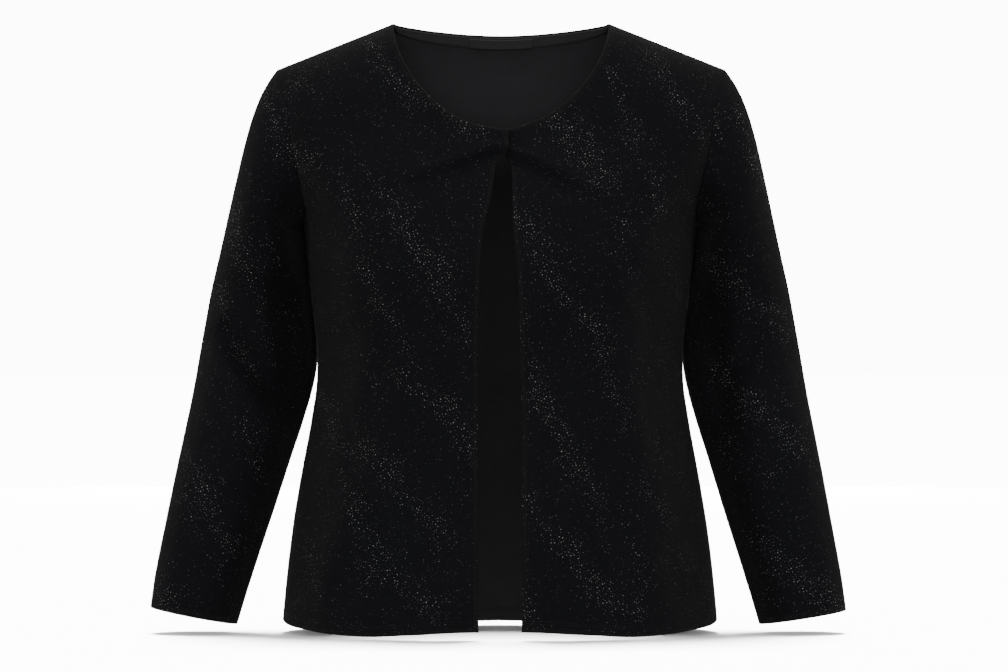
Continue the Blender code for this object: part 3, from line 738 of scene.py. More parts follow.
class Nodes:
    def __init__(self, tree):
        self.tree = tree

    def put(self, value, socket):
        if isinstance(value, Wire):
            self.tree.links.new(value.socket, socket)
        else:
            socket.default_value = value

    def add(self, kind, settings=None, values=None, output=0):
        node = self.tree.nodes.new(kind)
        for key, value in (settings or {}).items():
            setattr(node, key, value)
        for key, value in (values or {}).items():
            self.put(value, node.inputs[key])
        return Wire(self, node.outputs[output]) if len(node.outputs) else node

    def blend(self, share, first, second):
        node = self.tree.nodes.new("ShaderNodeMix")
        node.data_type = "RGBA"
        colours = [socket for socket in node.inputs if socket.type == "RGBA"]
        for value, socket in zip((share, first, second), (node.inputs[0], *colours)):
            self.put(value, socket)
        return Wire(self, [socket for socket in node.outputs if socket.type == "RGBA"][0])

    def place(self):
        return self.add("ShaderNodeTexCoord", None, None, "Object")

    def cut(self):
        # the place on the flat cut
        return self.add("ShaderNodeSeparateXYZ", None, {0: self.add("ShaderNodeUVMap", {"uv_map": "cut"})})

    def mark(self, name):
        return self.add("ShaderNodeAttribute", {"attribute_name": name}, None, "Fac")

    def noise(self, scale, detail=2.0):
        values = {"Vector": self.place(), "Scale": scale, "Detail": detail}
        return self.add("ShaderNodeTexNoise", None, values)

    def bump(self, strength, distance, height):
        values = {"Strength": strength, "Distance": distance, "Height": height}
        return self.add("ShaderNodeBump", None, values)

    def chance(self, seed):
        values = {2: 0.0, 3: 1.0, "Seed": seed}
        return self.add("FunctionNodeRandomValue", {"data_type": "FLOAT"}, values, 1)


def newMaterial(name, settings, values):
    # settings stay the same all over; values are the wires that change over the surface
    made = bpy.data.materials.new(name)
    made.use_nodes = True
    nodes = Nodes(made.node_tree)
    made.node_tree.nodes.clear()
    shader = nodes.add("ShaderNodeBsdfPrincipled", None, settings)
    end = nodes.add("ShaderNodeOutputMaterial", None, {"Surface": shader})
    end.target = "ALL"
    for key, wire in values(nodes).items():
        nodes.put(wire, shader.socket.node.inputs[key])
    return made


knit = {
    "wale": 0.00105,
    "course": 0.00085,
    "outsideDark": (0.0018, 0.0019, 0.0023, 1),
    "outsideLight": (0.0070, 0.0072, 0.0083, 1),
    "insideDark": (0.0135, 0.0131, 0.0144, 1),
    "insideLight": (0.0310, 0.0303, 0.0333, 1),
    "tapeDark": (0.0190, 0.0184, 0.0190, 1),
    "tapeLight": (0.0430, 0.0420, 0.0428, 1),
    "band": (0.0150, 0.0132, 0.0118, 1),
    "speck": (0.022, 0.022, 0.024, 1),
    "bump": 0.00022,
    "bumpStrength": 0.8,
    "purlPhase": 0.18,
    "purlDip": 0.25,
    "legSlant": 0.8,
    # how light the cloth is, and how far the stitches, the yarn's grain and a wide cloud change it; the
    # stitches' part is painted shade, darker in the hollows between their legs
    "tone": 0.30,
    "toneStitch": 0.34,
    "toneGrain": 0.42,
    "toneCloud": 0.34,
    "grainScale": 900.0,
    "cloudScale": 34.0,
    "bandShare": 0.08,
    "bandStitch": 0.16,
    # the finest glitter, real bits whose glints are painted into the cloth's colour as lighter specks: its
    # cells, their size, and the share of them that is lit
    "speckScale": 520.0,
    "speckSize": 0.20,
    "speckShare": 0.10,
    "speckDrift": 0.5,
    "speckStrength": 0.8,
    "roughness": 0.80,
    "roughnessCloud": 0.14,
    "specular": 0.04,
    "sheen": 0.020,
    "sheenRoughness": 0.28,
    "sheenTint": (1, 0.97, 0.94, 1),
}


def knitMaterial(name, tones, inside=False, glitter=False):
    def values(nodes):
        flat = nodes.cut()
        across = ((flat / knit["wale"]).fraction() - 0.5).size() * 2
        along = flat.output("Y") / knit["course"]
        arch = (across * math.pi).sine()
        if inside:
            # the purl side: rounded loops that lie in rows
            loop = ((along + knit["purlPhase"] * arch) * 2 * math.pi).sine() * 0.5 + 0.5
            height = loop * (1 - knit["purlDip"] + knit["purlDip"] * arch)
        else:
            # the plain side: two slanted legs to each stitch
            height = arch * (0.5 + 0.5 * ((along + across * knit["legSlant"]) * 2 * math.pi).sine())
        cloud = nodes.noise(knit["cloudScale"], 3.0)
        # painted shade: the stitch tops lighter and the hollows between their legs darker
        tone = knit["tone"] + knit["toneStitch"] * height
        tone = tone + knit["toneGrain"] * (nodes.noise(knit["grainScale"]) - 0.5)
        tone = tone + knit["toneCloud"] * (cloud - 0.5)
        colour = nodes.blend(tone, knit[tones + "Dark"], knit[tones + "Light"])
        if glitter:
            # the band's colour shows more on the stitch tops, so its hollows keep painted shade
            band = nodes.mark("band") * (knit["bandShare"] + knit["bandStitch"] * height)
            colour = nodes.blend(band, colour, knit["band"])
            # painted glints of the finest glitter: lighter specks, each of its own random strength
            cellPlace = {"Vector": nodes.place(), "Scale": knit["speckScale"]}
            cells = nodes.add("ShaderNodeTexVoronoi", None, cellPlace, "Distance")
            pick = nodes.add("ShaderNodeSeparateXYZ", None, {0: cells.output("Color")})
            lit = pick > 1 - (knit["speckShare"] + knit["speckDrift"] * nodes.mark("drift"))
            glintSpecks = (cells < knit["speckSize"]) * lit * pick.output("Y")
            colour = nodes.blend(glintSpecks * knit["speckStrength"], colour, knit["speck"])
        return {
            "Base Color": colour,
            "Normal": nodes.bump(knit["bumpStrength"], knit["bump"], height),
            "Roughness": knit["roughness"] + knit["roughnessCloud"] * cloud,
        }

    settings = {
        "Specular IOR Level": knit["specular"],
        "Sheen Weight": knit["sheen"],
        "Sheen Roughness": knit["sheenRoughness"],
        "Sheen Tint": knit["sheenTint"],
    }
    return newMaterial(name, settings, values)


flake = {
    "radius": 0.00052,
    "height": 0.00016,
    "sides": 4,
    "lift": 0.00006,
    "apart": 0.0022,
    "most": 230000.0,
    "tilt": 0.30,
    "spin": 6.283,
    "smallest": 0.70,
    "sizeSpread": 0.55,
    # how bright each flake's painted glint is: the least, how seldom a bright one comes, and what luck adds
    # away from the drifts and in them
    "shineLeast": 0.04,
    "shinePower": 2.4,
    "shinePlain": 0.06,
    "shineDrift": 0.84,
    "seeds": {"turn": 4, "size": 9, "shine": 21},
    # the flake's colour, from dark to light by its painted glint
    "dark": (0.012, 0.012, 0.013, 1),
    "light": (0.245, 0.24, 0.232, 1),
    "metallic": 0.7,
    "specular": 0.2,
    "roughness": 0.42,
    "roughnessGrain": 0.3,
    "grainScale": 2600.0,
}


def flakeMaterial():
    def values(nodes):
        # painted glint: each flake's colour lighter by the glint it is given, in place of the light it
        # would catch
        colour = nodes.blend(nodes.mark("shine"), flake["dark"], flake["light"])
        grain = nodes.noise(flake["grainScale"], 1.0)
        return {"Base Color": colour, "Roughness": flake["roughness"] + flake["roughnessGrain"] * grain}

    settings = {"Metallic": flake["metallic"], "Specular IOR Level": flake["specular"]}
    return newMaterial("glitterFoil", settings, values)


yarns = {
    "blackThread": {
        "dark": (0.003, 0.003, 0.004, 1), "light": (0.011, 0.011, 0.012, 1),
        "roughness": 0.7, "scale": 1500.0, "specular": 0.1,
    },
    # the binding is lighter than the cloth: a painted highlight of the light line along the rolled neck
    # edge
    "bindingKnit": {
        "dark": (0.0040, 0.0039, 0.0040, 1), "light": (0.0135, 0.0130, 0.0128, 1),
        "roughness": 0.8, "scale": 1100.0, "specular": 0.05,
    },
    "frontEdgeKnit": {
        "dark": knit["outsideDark"], "light": knit["outsideLight"],
        "roughness": 0.85, "scale": 1100.0, "specular": 0.04,
    },
    "hookEnamel": {
        "dark": (0.012, 0.012, 0.013, 1), "light": (0.030, 0.030, 0.032, 1),
        "roughness": 0.3, "scale": 700.0, "specular": 0.5,
    },
    "bumpStrength": 0.5,
    "bump": 0.0001,
    "roughnessTwist": 0.1,
}


def yarnMaterial(name):
    # a twisted thread or wire: light and dark turns along it, which also make its bump, so the dark parts
    # are painted shade where it sinks
    yarn = yarns[name]

    def values(nodes):
        turns = nodes.noise(yarn["scale"])
        return {
            # the colour follows the bump: painted shade where it sinks
            "Base Color": nodes.blend(turns, yarn["dark"], yarn["light"]),
            "Roughness": yarn["roughness"] + yarns["roughnessTwist"] * turns,
            "Normal": nodes.bump(yarns["bumpStrength"], yarns["bump"], turns),
        }

    return newMaterial(name, {"Specular IOR Level": yarn["specular"]}, values)


satinCloth = {
    "lineApart": 0.00045,
    "floatLength": 0.0011,
    "floatShift": 0.37,
    "lineShare": 0.7,
    "dark": (0.015, 0.015, 0.016, 1),
    "light": (0.036, 0.036, 0.037, 1),
    "bumpStrength": 0.5,
    "bump": 0.00008,
    "roughness": 0.42,
    "roughnessLine": 0.16,
    "specular": 0.15,
}


def satinMaterial():
    # the bare label: fine floats that run across it, lighter on their tops with painted shade in the lines
    # between them
    def values(nodes):
        flat = nodes.cut()
        lines = (flat.output("Y") * (2 * math.pi / satinCloth["lineApart"])).sine() * 0.5 + 0.5
        floats = flat / satinCloth["floatLength"] + lines * satinCloth["floatShift"]
        floats = (floats * 2 * math.pi).sine() * 0.5 + 0.5
        height = lines * satinCloth["lineShare"] + floats * (1 - satinCloth["lineShare"])
        return {
            # the colour follows the weave's height: painted shade in its low lines
            "Base Color": nodes.blend(height, satinCloth["dark"], satinCloth["light"]),
            "Roughness": satinCloth["roughness"] + satinCloth["roughnessLine"] * lines,
            "Normal": nodes.bump(satinCloth["bumpStrength"], satinCloth["bump"], height),
        }

    return newMaterial("labelSatin", {"Specular IOR Level": satinCloth["specular"]}, values)


outsideKnit = knitMaterial("glitterKnitOutside", "outside", glitter=True)
insideKnit = knitMaterial("knitInside", "inside", inside=True)
tapeKnit = knitMaterial("neckTapeKnit", "tape", inside=True)
bindingKnit, edgeKnit, thread, enamel = map(
    yarnMaterial, ("bindingKnit", "frontEdgeKnit", "blackThread", "hookEnamel")
)
foil = flakeMaterial()
satin = satinMaterial()
print("materials made")


# meshes from grids of points

def edgeShares(count, ends=np.array((0.0, 0.0016, 0.0042, 0.0085))):
    # shares from 0 to 1 that lie closer together at both ends
    middle = np.linspace(ends[-1], 1 - ends[-1], count)
    return np.concatenate([ends[:-1], middle, 1 - ends[-2::-1]])


def gridNormals(points, towards):
    # the outward direction at each point; towards is roughly outward a quarter of the way across
    across = np.gradient(points, axis=1)
    along = np.gradient(points, axis=0)
    normals = unit(np.cross(across, along))
    sample = normals[points.shape[0] // 2, points.shape[1] // 4]
    return normals if np.dot(sample, towards) > 0 else -normals


def layGrid(name, points, cut, towards, closed=False, marks=None):
    # a mesh of four-sided faces through a grid of points, with its flat cut as the UV map, in metres;
    # marks are the numbers that its material and its glitter read
    rows, columns = points.shape[:2]
    index = np.arange(rows * columns).reshape(rows, columns)
    corners = [index[:-1, :-1], index[:-1, 1:], index[1:, 1:], index[1:, :-1]]
    middle, quarter = rows // 2, columns // 4
    side = points[middle, quarter + 1] - points[middle, quarter]
    up = points[middle + 1, quarter] - points[middle, quarter]
    if np.dot(np.cross(side, up), towards) < 0:
        corners = corners[::-1]
    faces = np.stack(corners, -1).reshape(-1, 4)
    flat = cut.reshape(-1, 2)[faces.reshape(-1)]
    keep = columns - 1 if closed else columns
    if closed:
        faces = faces // columns * keep + faces % columns % keep
    mesh = bpy.data.meshes.new(name)
    mesh.from_pydata(points[:, :keep].reshape(-1, 3).tolist(), [], faces.tolist())
    mesh.uv_layers.new(name="cut").data.foreach_set("uv", flat.astype(np.float32).reshape(-1))
    for label, values in (marks or {}).items():
        layer = mesh.attributes.new(label, "FLOAT", "POINT")
        layer.data.foreach_set("value", values[:, :keep].astype(np.float32).reshape(-1))
    mesh.shade_smooth()
    return mesh


def addPiece(name, mesh, materials, node=None):
    piece = bpy.data.objects.new(name, mesh)
    bpy.context.scene.collection.objects.link(piece)
    for material in materials:
        mesh.materials.append(material)
    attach(piece, "root")
    if node:
        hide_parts(node)
    return piece


walls = {"edge": 0.0005, "edgeSteps": 2, "sharpTurn": 50}


def growWall(piece, thickness, edge=walls["edge"], insideSlot=1):
    # the wall grows inwards, and its cut edges are rounded over
    shell = piece.modifiers.new("wall", "SOLIDIFY")
    shell.thickness = thickness
    shell.offset = -1
    shell.use_even_offset = True
    shell.material_offset = insideSlot
    rounding = piece.modifiers.new("roundedEdge", "BEVEL")
    rounding.width = edge
    rounding.segments = walls["edgeSteps"]
    rounding.limit_method = "ANGLE"
    rounding.angle_limit = math.radians(walls["sharpTurn"])


def runNodes(name, mesh, build, inputs, node=None):
    # runs a Geometry Nodes tree on a mesh and keeps the result as a plain mesh
    tree = bpy.data.node_groups.new(name, "GeometryNodeTree")
    tree.interface.new_socket("Geometry", in_out="INPUT", socket_type="NodeSocketGeometry")
    tree.interface.new_socket("Geometry", in_out="OUTPUT", socket_type="NodeSocketGeometry")
    kinds = {float: "NodeSocketFloat", int: "NodeSocketInt", bpy.types.Material: "NodeSocketMaterial"}
    for label, value in inputs.items():
        tree.interface.new_socket(label, in_out="INPUT", socket_type=kinds[type(value)])
    nodes = Nodes(tree)
    start = nodes.add("NodeGroupInput")
    end = tree.nodes.new("NodeGroupOutput")
    tree.links.new(build(nodes, start).socket, end.inputs[0])
    base = bpy.data.objects.new(name + "Base", mesh)
    bpy.context.scene.collection.objects.link(base)
    modifier = base.modifiers.new(name, "NODES")
    modifier.node_group = tree
    for item in tree.interface.items_tree:
        if item.in_out == "INPUT" and item.name in inputs:
            modifier[item.identifier] = inputs[item.name]
    seen = base.evaluated_get(bpy.context.evaluated_depsgraph_get())
    made = bpy.data.meshes.new_from_object(seen)
    bpy.data.objects.remove(base)
    made.name = name
    made.materials.clear()
    return addPiece(name, made, [inputs["Material"]], node)


def finished(nodes, start, geometry, smoothed=True):
    # the last steps of a tree: one plain mesh in its material
    real = nodes.add("GeometryNodeRealizeInstances", None, {"Geometry": geometry})
    if smoothed:
        real = nodes.add("GeometryNodeSetShadeSmooth", None, {"Geometry": real})
    values = {"Geometry": real, "Material": start.output("Material")}
    return nodes.add("GeometryNodeSetMaterial", None, values)


def evenLine(nodes, start, length):
    line = nodes.add("GeometryNodeMeshToCurve", None, {"Mesh": start})
    values = {"Curve": line, "Length": start.output(length)}
    return nodes.add("GeometryNodeResampleCurve", {"mode": "LENGTH"}, values)


def scatterFlakes(nodes, start):
    # small faceted flakes an even step apart, more where the drift is strong, each with a painted glint in
    # its colour that is brighter there
    drift = nodes.add("GeometryNodeInputNamedAttribute", {"data_type": "FLOAT"}, {"Name": "drift"})
    values = {
        "Mesh": start,
        "Distance Min": start.output("Apart"),
        "Density Max": start.output("Most per square metre"),
        "Density Factor": drift,
        "Seed": start.output("Seed"),
    }
    points = nodes.add("GeometryNodeDistributePointsOnFaces", {"distribute_method": "POISSON"}, values)
    values = {0: points.output("Normal"), "Scale": start.output("Lift")}
    lift = nodes.add("ShaderNodeVectorMath", {"operation": "SCALE"}, values)
    raised = nodes.add("GeometryNodeSetPosition", None, {"Geometry": points, "Offset": lift})
    values = {
        "Vertices": start.output("Sides"),
        "Radius Bottom": start.output("Radius"),
        "Radius Top": 0.0,
        "Depth": start.output("Height"),
    }
    cone = nodes.add("GeometryNodeMeshCone", {"fill_type": "NGON"}, values)
    tilt = flake["tilt"]
    values = {0: (-tilt, -tilt, 0.0), 1: (tilt, tilt, flake["spin"]), "Seed": flake["seeds"]["turn"]}
    spin = nodes.add("FunctionNodeRandomValue", {"data_type": "FLOAT_VECTOR"}, values)
    turn = nodes.add("FunctionNodeEulerToRotation", None, {0: spin})
    values = {0: points.output("Rotation"), 1: turn}
    values = {
        "Points": raised,
        "Instance": cone,
        "Rotation": nodes.add("FunctionNodeRotateRotation", {"rotation_space": "LOCAL"}, values),
        "Scale": flake["smallest"] + nodes.chance(flake["seeds"]["size"]) * flake["sizeSpread"],
    }
    placed = nodes.add("GeometryNodeInstanceOnPoints", None, values)
    # painted glint: a random brightness for each flake, raised in the drifts
    luck = nodes.chance(flake["seeds"]["shine"]) ** flake["shinePower"]
    shine = flake["shineLeast"] + luck * (flake["shinePlain"] + flake["shineDrift"] * drift)
    values = {"Geometry": placed, "Name": "shine", "Value": shine}
    kind = {"data_type": "FLOAT", "domain": "INSTANCE"}
    return finished(nodes, start, nodes.add("GeometryNodeStoreNamedAttribute", kind, values), False)


def sewStitches(nodes, start):
    # short rounded stitches laid one after another along the line
    tangent = nodes.add("GeometryNodeInputTangent")
    radius, length = start.output("Radius"), start.output("Length")
    values = {
        "Points": evenLine(nodes, start, "Pitch"),
        "Instance": nodes.add("GeometryNodeMeshUVSphere", None, {"Segments": 6, "Rings": 4, "Radius": 1.0}),
        "Rotation": nodes.add("FunctionNodeAlignRotationToVector", {"axis": "Z"}, {"Vector": tangent}),
        "Scale": nodes.add("ShaderNodeCombineXYZ", None, {0: radius, 1: radius, 2: length * 0.5}),
    }
    return finished(nodes, start, nodes.add("GeometryNodeInstanceOnPoints", None, values))


def rollEdge(nodes, start):
    # a soft round cord of cloth or thread along the line
    values = {"Resolution": start.output("Sides"), "Radius": start.output("Radius")}
    ring = nodes.add("GeometryNodeCurvePrimitiveCircle", {"mode": "RADIUS"}, values)
    values = {"Curve": evenLine(nodes, start, "Step"), "Profile Curve": ring, "Fill Caps": True}
    return finished(nodes, start, nodes.add("GeometryNodeCurveToMesh", None, values))


def lineMesh(name, lines):
    # loose edges through each line of points, for the trees that follow a line
    points, edges = [], []
    for line in lines:
        edges += [(len(points) + k, len(points) + k + 1) for k in range(len(line) - 1)]
        points += [tuple(point) for point in line]
    mesh = bpy.data.meshes.new(name)
    mesh.from_pydata(points, edges, [])
    return mesh


# the glitter's drifts: narrow streams that run down across each panel

drifts = {
    "base": 0.14,
    "power": 1.15,
    "front_right": table(
        "x0 z0 x1 z1 width strength",
        (-0.136, -0.146, -0.097, -0.194, 0.006, 0.60),
        (-0.097, -0.194, -0.055, -0.270, 0.011, 1.00),
        (-0.055, -0.270, -0.027, -0.318, 0.007, 0.80),
        (-0.155, -0.150, -0.134, -0.248, 0.006, 0.60),
        (-0.134, -0.248, -0.105, -0.295, 0.007, 0.75),
        (-0.105, -0.295, -0.078, -0.352, 0.005, 0.45),
        (-0.100, -0.352, -0.050, -0.382, 0.006, 0.80),
        (-0.050, -0.382, -0.024, -0.430, 0.009, 0.90),
        (-0.180, -0.364, -0.165, -0.410, 0.006, 0.75),
        (-0.165, -0.410, -0.146, -0.470, 0.006, 0.55),
        (-0.131, -0.419, -0.092, -0.466, 0.010, 1.00),
        (-0.092, -0.466, -0.045, -0.512, 0.007, 0.60),
        (-0.143, -0.478, -0.116, -0.540, 0.010, 0.85),
        (-0.116, -0.540, -0.066, -0.580, 0.010, 0.75),
        (-0.204, -0.480, -0.175, -0.572, 0.005, 0.55),
        (-0.130, -0.020, -0.087, -0.078, 0.007, 0.75),
        (-0.087, -0.078, -0.015, -0.115, 0.008, 0.65),
        (-0.180, -0.035, -0.225, -0.085, 0.009, 0.55),
        (-0.205, -0.130, -0.195, -0.140, 0.012, 1.00),
    ),
    "front_left": table(
        "x0 z0 x1 z1 width strength",
        (0.042, -0.078, 0.070, -0.118, 0.011, 0.90),
        (0.070, -0.118, 0.102, -0.160, 0.012, 1.00),
        (0.010, -0.186, 0.055, -0.258, 0.009, 1.00),
        (0.055, -0.258, 0.104, -0.330, 0.008, 0.80),
        (0.104, -0.330, 0.122, -0.400, 0.007, 0.65),
        (0.019, -0.296, 0.040, -0.370, 0.007, 0.70),
        (0.040, -0.370, 0.073, -0.440, 0.009, 1.00),
        (0.073, -0.440, 0.100, -0.475, 0.008, 0.70),
        (0.010, -0.458, 0.058, -0.512, 0.006, 0.60),
        (0.058, -0.512, 0.097, -0.560, 0.009, 0.75),
        (0.097, -0.560, 0.142, -0.590, 0.009, 0.80),
        (0.018, -0.570, 0.030, -0.582, 0.010, 0.80),
        (0.110, -0.050, 0.126, -0.112, 0.006, 0.45),
        (0.126, -0.112, 0.160, -0.190, 0.008, 0.65),
        (0.150, -0.030, 0.195, -0.112, 0.009, 0.70),
        (0.120, -0.200, 0.128, -0.255, 0.006, 0.45),
        (0.130, -0.440, 0.165, -0.490, 0.006, 0.40),
        (0.125, -0.490, 0.140, -0.570, 0.006, 0.45),
    ),
    "sleeve_right": table(
        "x0 z0 x1 z1 width strength",
        (-0.205, -0.130, -0.195, -0.140, 0.012, 1.00),
        (-0.235, -0.060, -0.215, -0.130, 0.009, 0.65),
        (-0.275, -0.180, -0.247, -0.250, 0.009, 1.00),
        (-0.285, -0.262, -0.250, -0.356, 0.007, 0.60),
        (-0.247, -0.262, -0.225, -0.330, 0.006, 0.50),
        (-0.318, -0.424, -0.265, -0.518, 0.010, 1.00),
        (-0.342, -0.556, -0.325, -0.580, 0.012, 0.80),
        (-0.252, -0.390, -0.240, -0.450, 0.006, 0.50),
    ),
    "sleeve_left": table(
        "x0 z0 x1 z1 width strength",
        (0.200, -0.070, 0.215, -0.115, 0.008, 0.60),
        (0.238, -0.092, 0.262, -0.166, 0.009, 0.75),
        (0.198, -0.229, 0.232, -0.262, 0.010, 1.00),
        (0.232, -0.262, 0.290, -0.310, 0.009, 0.80),
        (0.215, -0.345, 0.258, -0.384, 0.007, 0.80),
        (0.258, -0.384, 0.302, -0.428, 0.010, 1.00),
        (0.228, -0.416, 0.262, -0.458, 0.007, 0.50),
        (0.258, -0.514, 0.302, -0.556, 0.010, 0.90),
        (0.302, -0.556, 0.345, -0.580, 0.012, 1.00),
    ),
    # streams that are laid by chance: faint ones between those above, and the main ones at the back
    "faint": {"spacing": 0.024, "width": (0.003, 0.006), "length": (0.05, 0.13), "strength": (0.04, 0.20)},
    "behind": {"spacing": 0.036, "width": (0.005, 0.011), "length": (0.08, 0.17), "strength": (0.45, 1.0)},
    "slant": (-70.0, -48.0),
    "latticeTall": 2.2,
    "scatterAcross": 0.4,
    "scatterDown": 1.0,
    # each stream's line sways and its breadth changes along it, and a wide cloud lies over them all
    "sway": 0.35,
    "swayTurn": 7,
    "breadth": 1.05,
    "breadthSwing": 0.25,
    "breadthTurn": 9,
    "cloud": 0.25,
    "cloudAcross": 95,
    "cloudDown": 71,
    "cloudSlant": 30,
    "phase": (0, 6),
    "least": 0.04,
}


def chanceStreams(points, kind, rng):
    # one stream for each square of a loose lattice over the piece's x and z
    rule = drifts[kind]
    across, down = drifts["scatterAcross"], drifts["scatterDown"]
    low, high = points.reshape(-1, 3).min(0), points.reshape(-1, 3).max(0)
    x, z = np.meshgrid(
        np.arange(low[0], high[0], rule["spacing"]),
        np.arange(low[2], high[2], rule["spacing"] * drifts["latticeTall"]),
    )
    x = x.ravel() + rng.uniform(-across, across, x.size) * rule["spacing"]
    z = z.ravel() + rng.uniform(-down, down, z.size) * rule["spacing"]
    angle = np.radians(rng.uniform(*drifts["slant"], x.size))
    length, width, strength = (rng.uniform(*rule[key], x.size) for key in ("length", "width", "strength"))
    reach = np.stack([np.cos(angle), np.sin(angle)]) * length / 2
    return np.stack([x - reach[0], z - reach[1], x + reach[0], z + reach[1], width, strength], -1)


def driftOver(name, points, behind, seed):
    # behind is true where the cloth is the garment's back, away from the placed streams
    rng = np.random.default_rng(seed)

    def phase():
        return rng.uniform(*drifts["phase"])

    x, z = points[..., 0], points[..., 2]
    placed = np.stack(list(drifts[name].values()), -1) if name in drifts else np.zeros((0, 6))
    faint = chanceStreams(points, "faint", rng)
    back = chanceStreams(points, "behind", rng)
    thick = np.full_like(x, drifts["base"])
    for rows, where in ((placed, ~behind), (faint, True), (back, behind)):
        for x0, z0, x1, z1, width, strength in rows:
            runX, runZ = x1 - x0, z1 - z0
            share = np.clip(shareAlong(x, z, x0, z0, runX, runZ), 0, 1)
            sway = drifts["sway"] * width * np.sin(share * drifts["swayTurn"] + phase())
            off = np.hypot(x - x0 - runX * share + sway, z - z0 - runZ * share)
            swing = drifts["breadthSwing"] * np.sin(share * drifts["breadthTurn"] + phase())
            breadth = width * (drifts["breadth"] + swing)
            thick += np.where(where, strength * drifts["power"] * np.exp(-((off / breadth) ** 2)), 0)
    wave = drifts["cloud"] * np.sin(x * drifts["cloudAcross"] + phase())
    cloud = 1 + wave * np.sin(z * drifts["cloudDown"] + x * drifts["cloudSlant"] + phase())
    return np.clip(thick * cloud, drifts["least"], 1.0)


# hems, edges and the sewing on them

sewing = {
    "hemHeight": 0.0125,
    "hemWall": 0.0008,
    "layerGap": 0.0001,
    "hemRows": 9,
    "needleRows": (0.0088, 0.0112),
    # heights whose slopes give the way out of the cloth at the two needle rows
    "needleProbes": (0.008, 0.009, 0.011, 0.012),
    "threadLift": 0.00005,
    "hemEdge": 0.00035,
    "stitchPitch": 0.0032,
    "stitchLength": 0.0025,
    "stitchRadius": 0.00020,
    "loopPitch": 0.0021,
    "loopRadius": 0.00014,
    "loopStep": 0.0012,
    "loopSides": 4,
    "bandWidth": 0.0045,
    "bandBlur": 0.0008,
    "rollStep": 0.0018,
    "rollSides": 8,
    "bindingRadius": 0.00080,
    "bindingStep": 0.0015,
    "bindingSides": 10,
    "frontEdgeRadius": 0.00060,
    "seamRadius": 0.0012,
    "seamStep": 0.004,
    "seamSides": 6,
    "seamInset": 0.0024,
    "overlockReach": 0.0013,
    "overlockAside": (0.31, 0.17, 0.93),
}


def roll(name, lines, radius, material, step=sewing["rollStep"], sides=sewing["rollSides"],
         slotName="knit", node=None):
    inputs = {"Step": step, "Sides": sides, "Radius": radius, "Material": material}
    return runNodes(name, lineMesh(name + "Line", lines), rollEdge, inputs, node)


def stitch(name, lines):
    inputs = {
        "Pitch": sewing["stitchPitch"],
        "Length": sewing["stitchLength"],
        "Radius": sewing["stitchRadius"],
        "Material": thread,
    }
    return runNodes(name, lineMesh(name + "Line", lines), sewStitches, inputs)


def loopOver(name, pairs):
    # thread that swings from one path to the other, a pitch at a time
    lines = []
    for paths in pairs:
        count = int(runOf(paths[0])[-1] / sewing["loopPitch"])
        sides = []
        for path in paths:
            run = runOf(path)
            goal = np.linspace(0, 1, count) * run[-1]
            sides.append(np.stack([np.interp(goal, run, column) for column in path.T], -1))
        lines.append(np.where((np.arange(count) % 2 == 0)[:, None], *sides))
    return roll(name, lines, sewing["loopRadius"], thread, sewing["loopStep"], sewing["loopSides"])


def overlock(name, lines):
    # the rolled seam allowance inside a seam, and the loops of thread over it
    allowance = roll(
        name + "Seam", lines, sewing["seamRadius"], insideKnit, sewing["seamStep"], sewing["seamSides"]
    )
    pairs = []
    for line in lines:
        along = unit(np.gradient(line, axis=0))
        aside = unit(np.cross(along, sewing["overlockAside"])) * sewing["overlockReach"]
        pairs.append((line - aside, line + aside))
    return [allowance, loopOver(name + "Overlock", pairs)]


def distanceFrom(points, axis, fromEnd=False):
    # how far each point is along the cloth from the first row or column, or from the last
    run = runOf(np.moveaxis(points, axis, 0))
    return np.moveaxis(run[-1] - run if fromEnd else run, 0, axis)


def sewPanel(name, node, points, cut, towards, behind, edges, closed=False):
    # a panel with its glitter, and a band of another colour along the edges
    seed = cloth["seeds"][node]
    blur = (sewing["bandWidth"] + way * sewing["bandBlur"] for way in (-1, 1))
    marks = {"drift": driftOver(node, points, behind, seed), "band": 1 - ease(edges, *blur)}
    mesh = layGrid(name, points, cut, towards, closed, marks)
    piece = addPiece(name, mesh, [outsideKnit, insideKnit], node)
    growWall(piece, body["wall"])
    inputs = {
        "Apart": flake["apart"],
        "Most per square metre": flake["most"],
        "Seed": seed,
        "Lift": flake["lift"] + flake["height"] / 2,
        "Sides": flake["sides"],
        "Radius": flake["radius"],
        "Height": flake["height"],
        "Material": foil,
    }
    glitter = runNodes("glitter" + name[0].upper() + name[1:], mesh.copy(), scatterFlakes, inputs)
    return [piece, glitter]


def turnHem(name, outerAt, towards, cut, closed=False):
    # the cloth turned up inside along a hem, its two needle rows outside and its loops inside;
    # outerAt gives the panel's outer face at a row of heights above the hem's edge
    heights = np.linspace(0, sewing["hemHeight"], sewing["hemRows"])[:, None]
    outer = outerAt(heights)
    inset = body["wall"] + sewing["layerGap"]
    points = outer - gridNormals(outer, towards) * inset
    flat = np.stack(np.broadcast_arrays(cut[None, :], heights), -1)
    hem = addPiece(name, layGrid(name, points, flat, towards, closed), [insideKnit, insideKnit])
    growWall(hem, sewing["hemWall"], sewing["hemEdge"], 0)
    rows, probes = (outerAt(np.array(sewing[key])[:, None]) for key in ("needleRows", "needleProbes"))
    out = gridNormals(probes, towards)[1:3]
    needles = stitch(name + "Needles", list(rows + out * sewing["threadLift"]))
    deep = rows - out * (inset + sewing["hemWall"] + sewing["threadLift"])
    return [hem, needles, loopOver(name + "Loops", [deep])]


# the panels

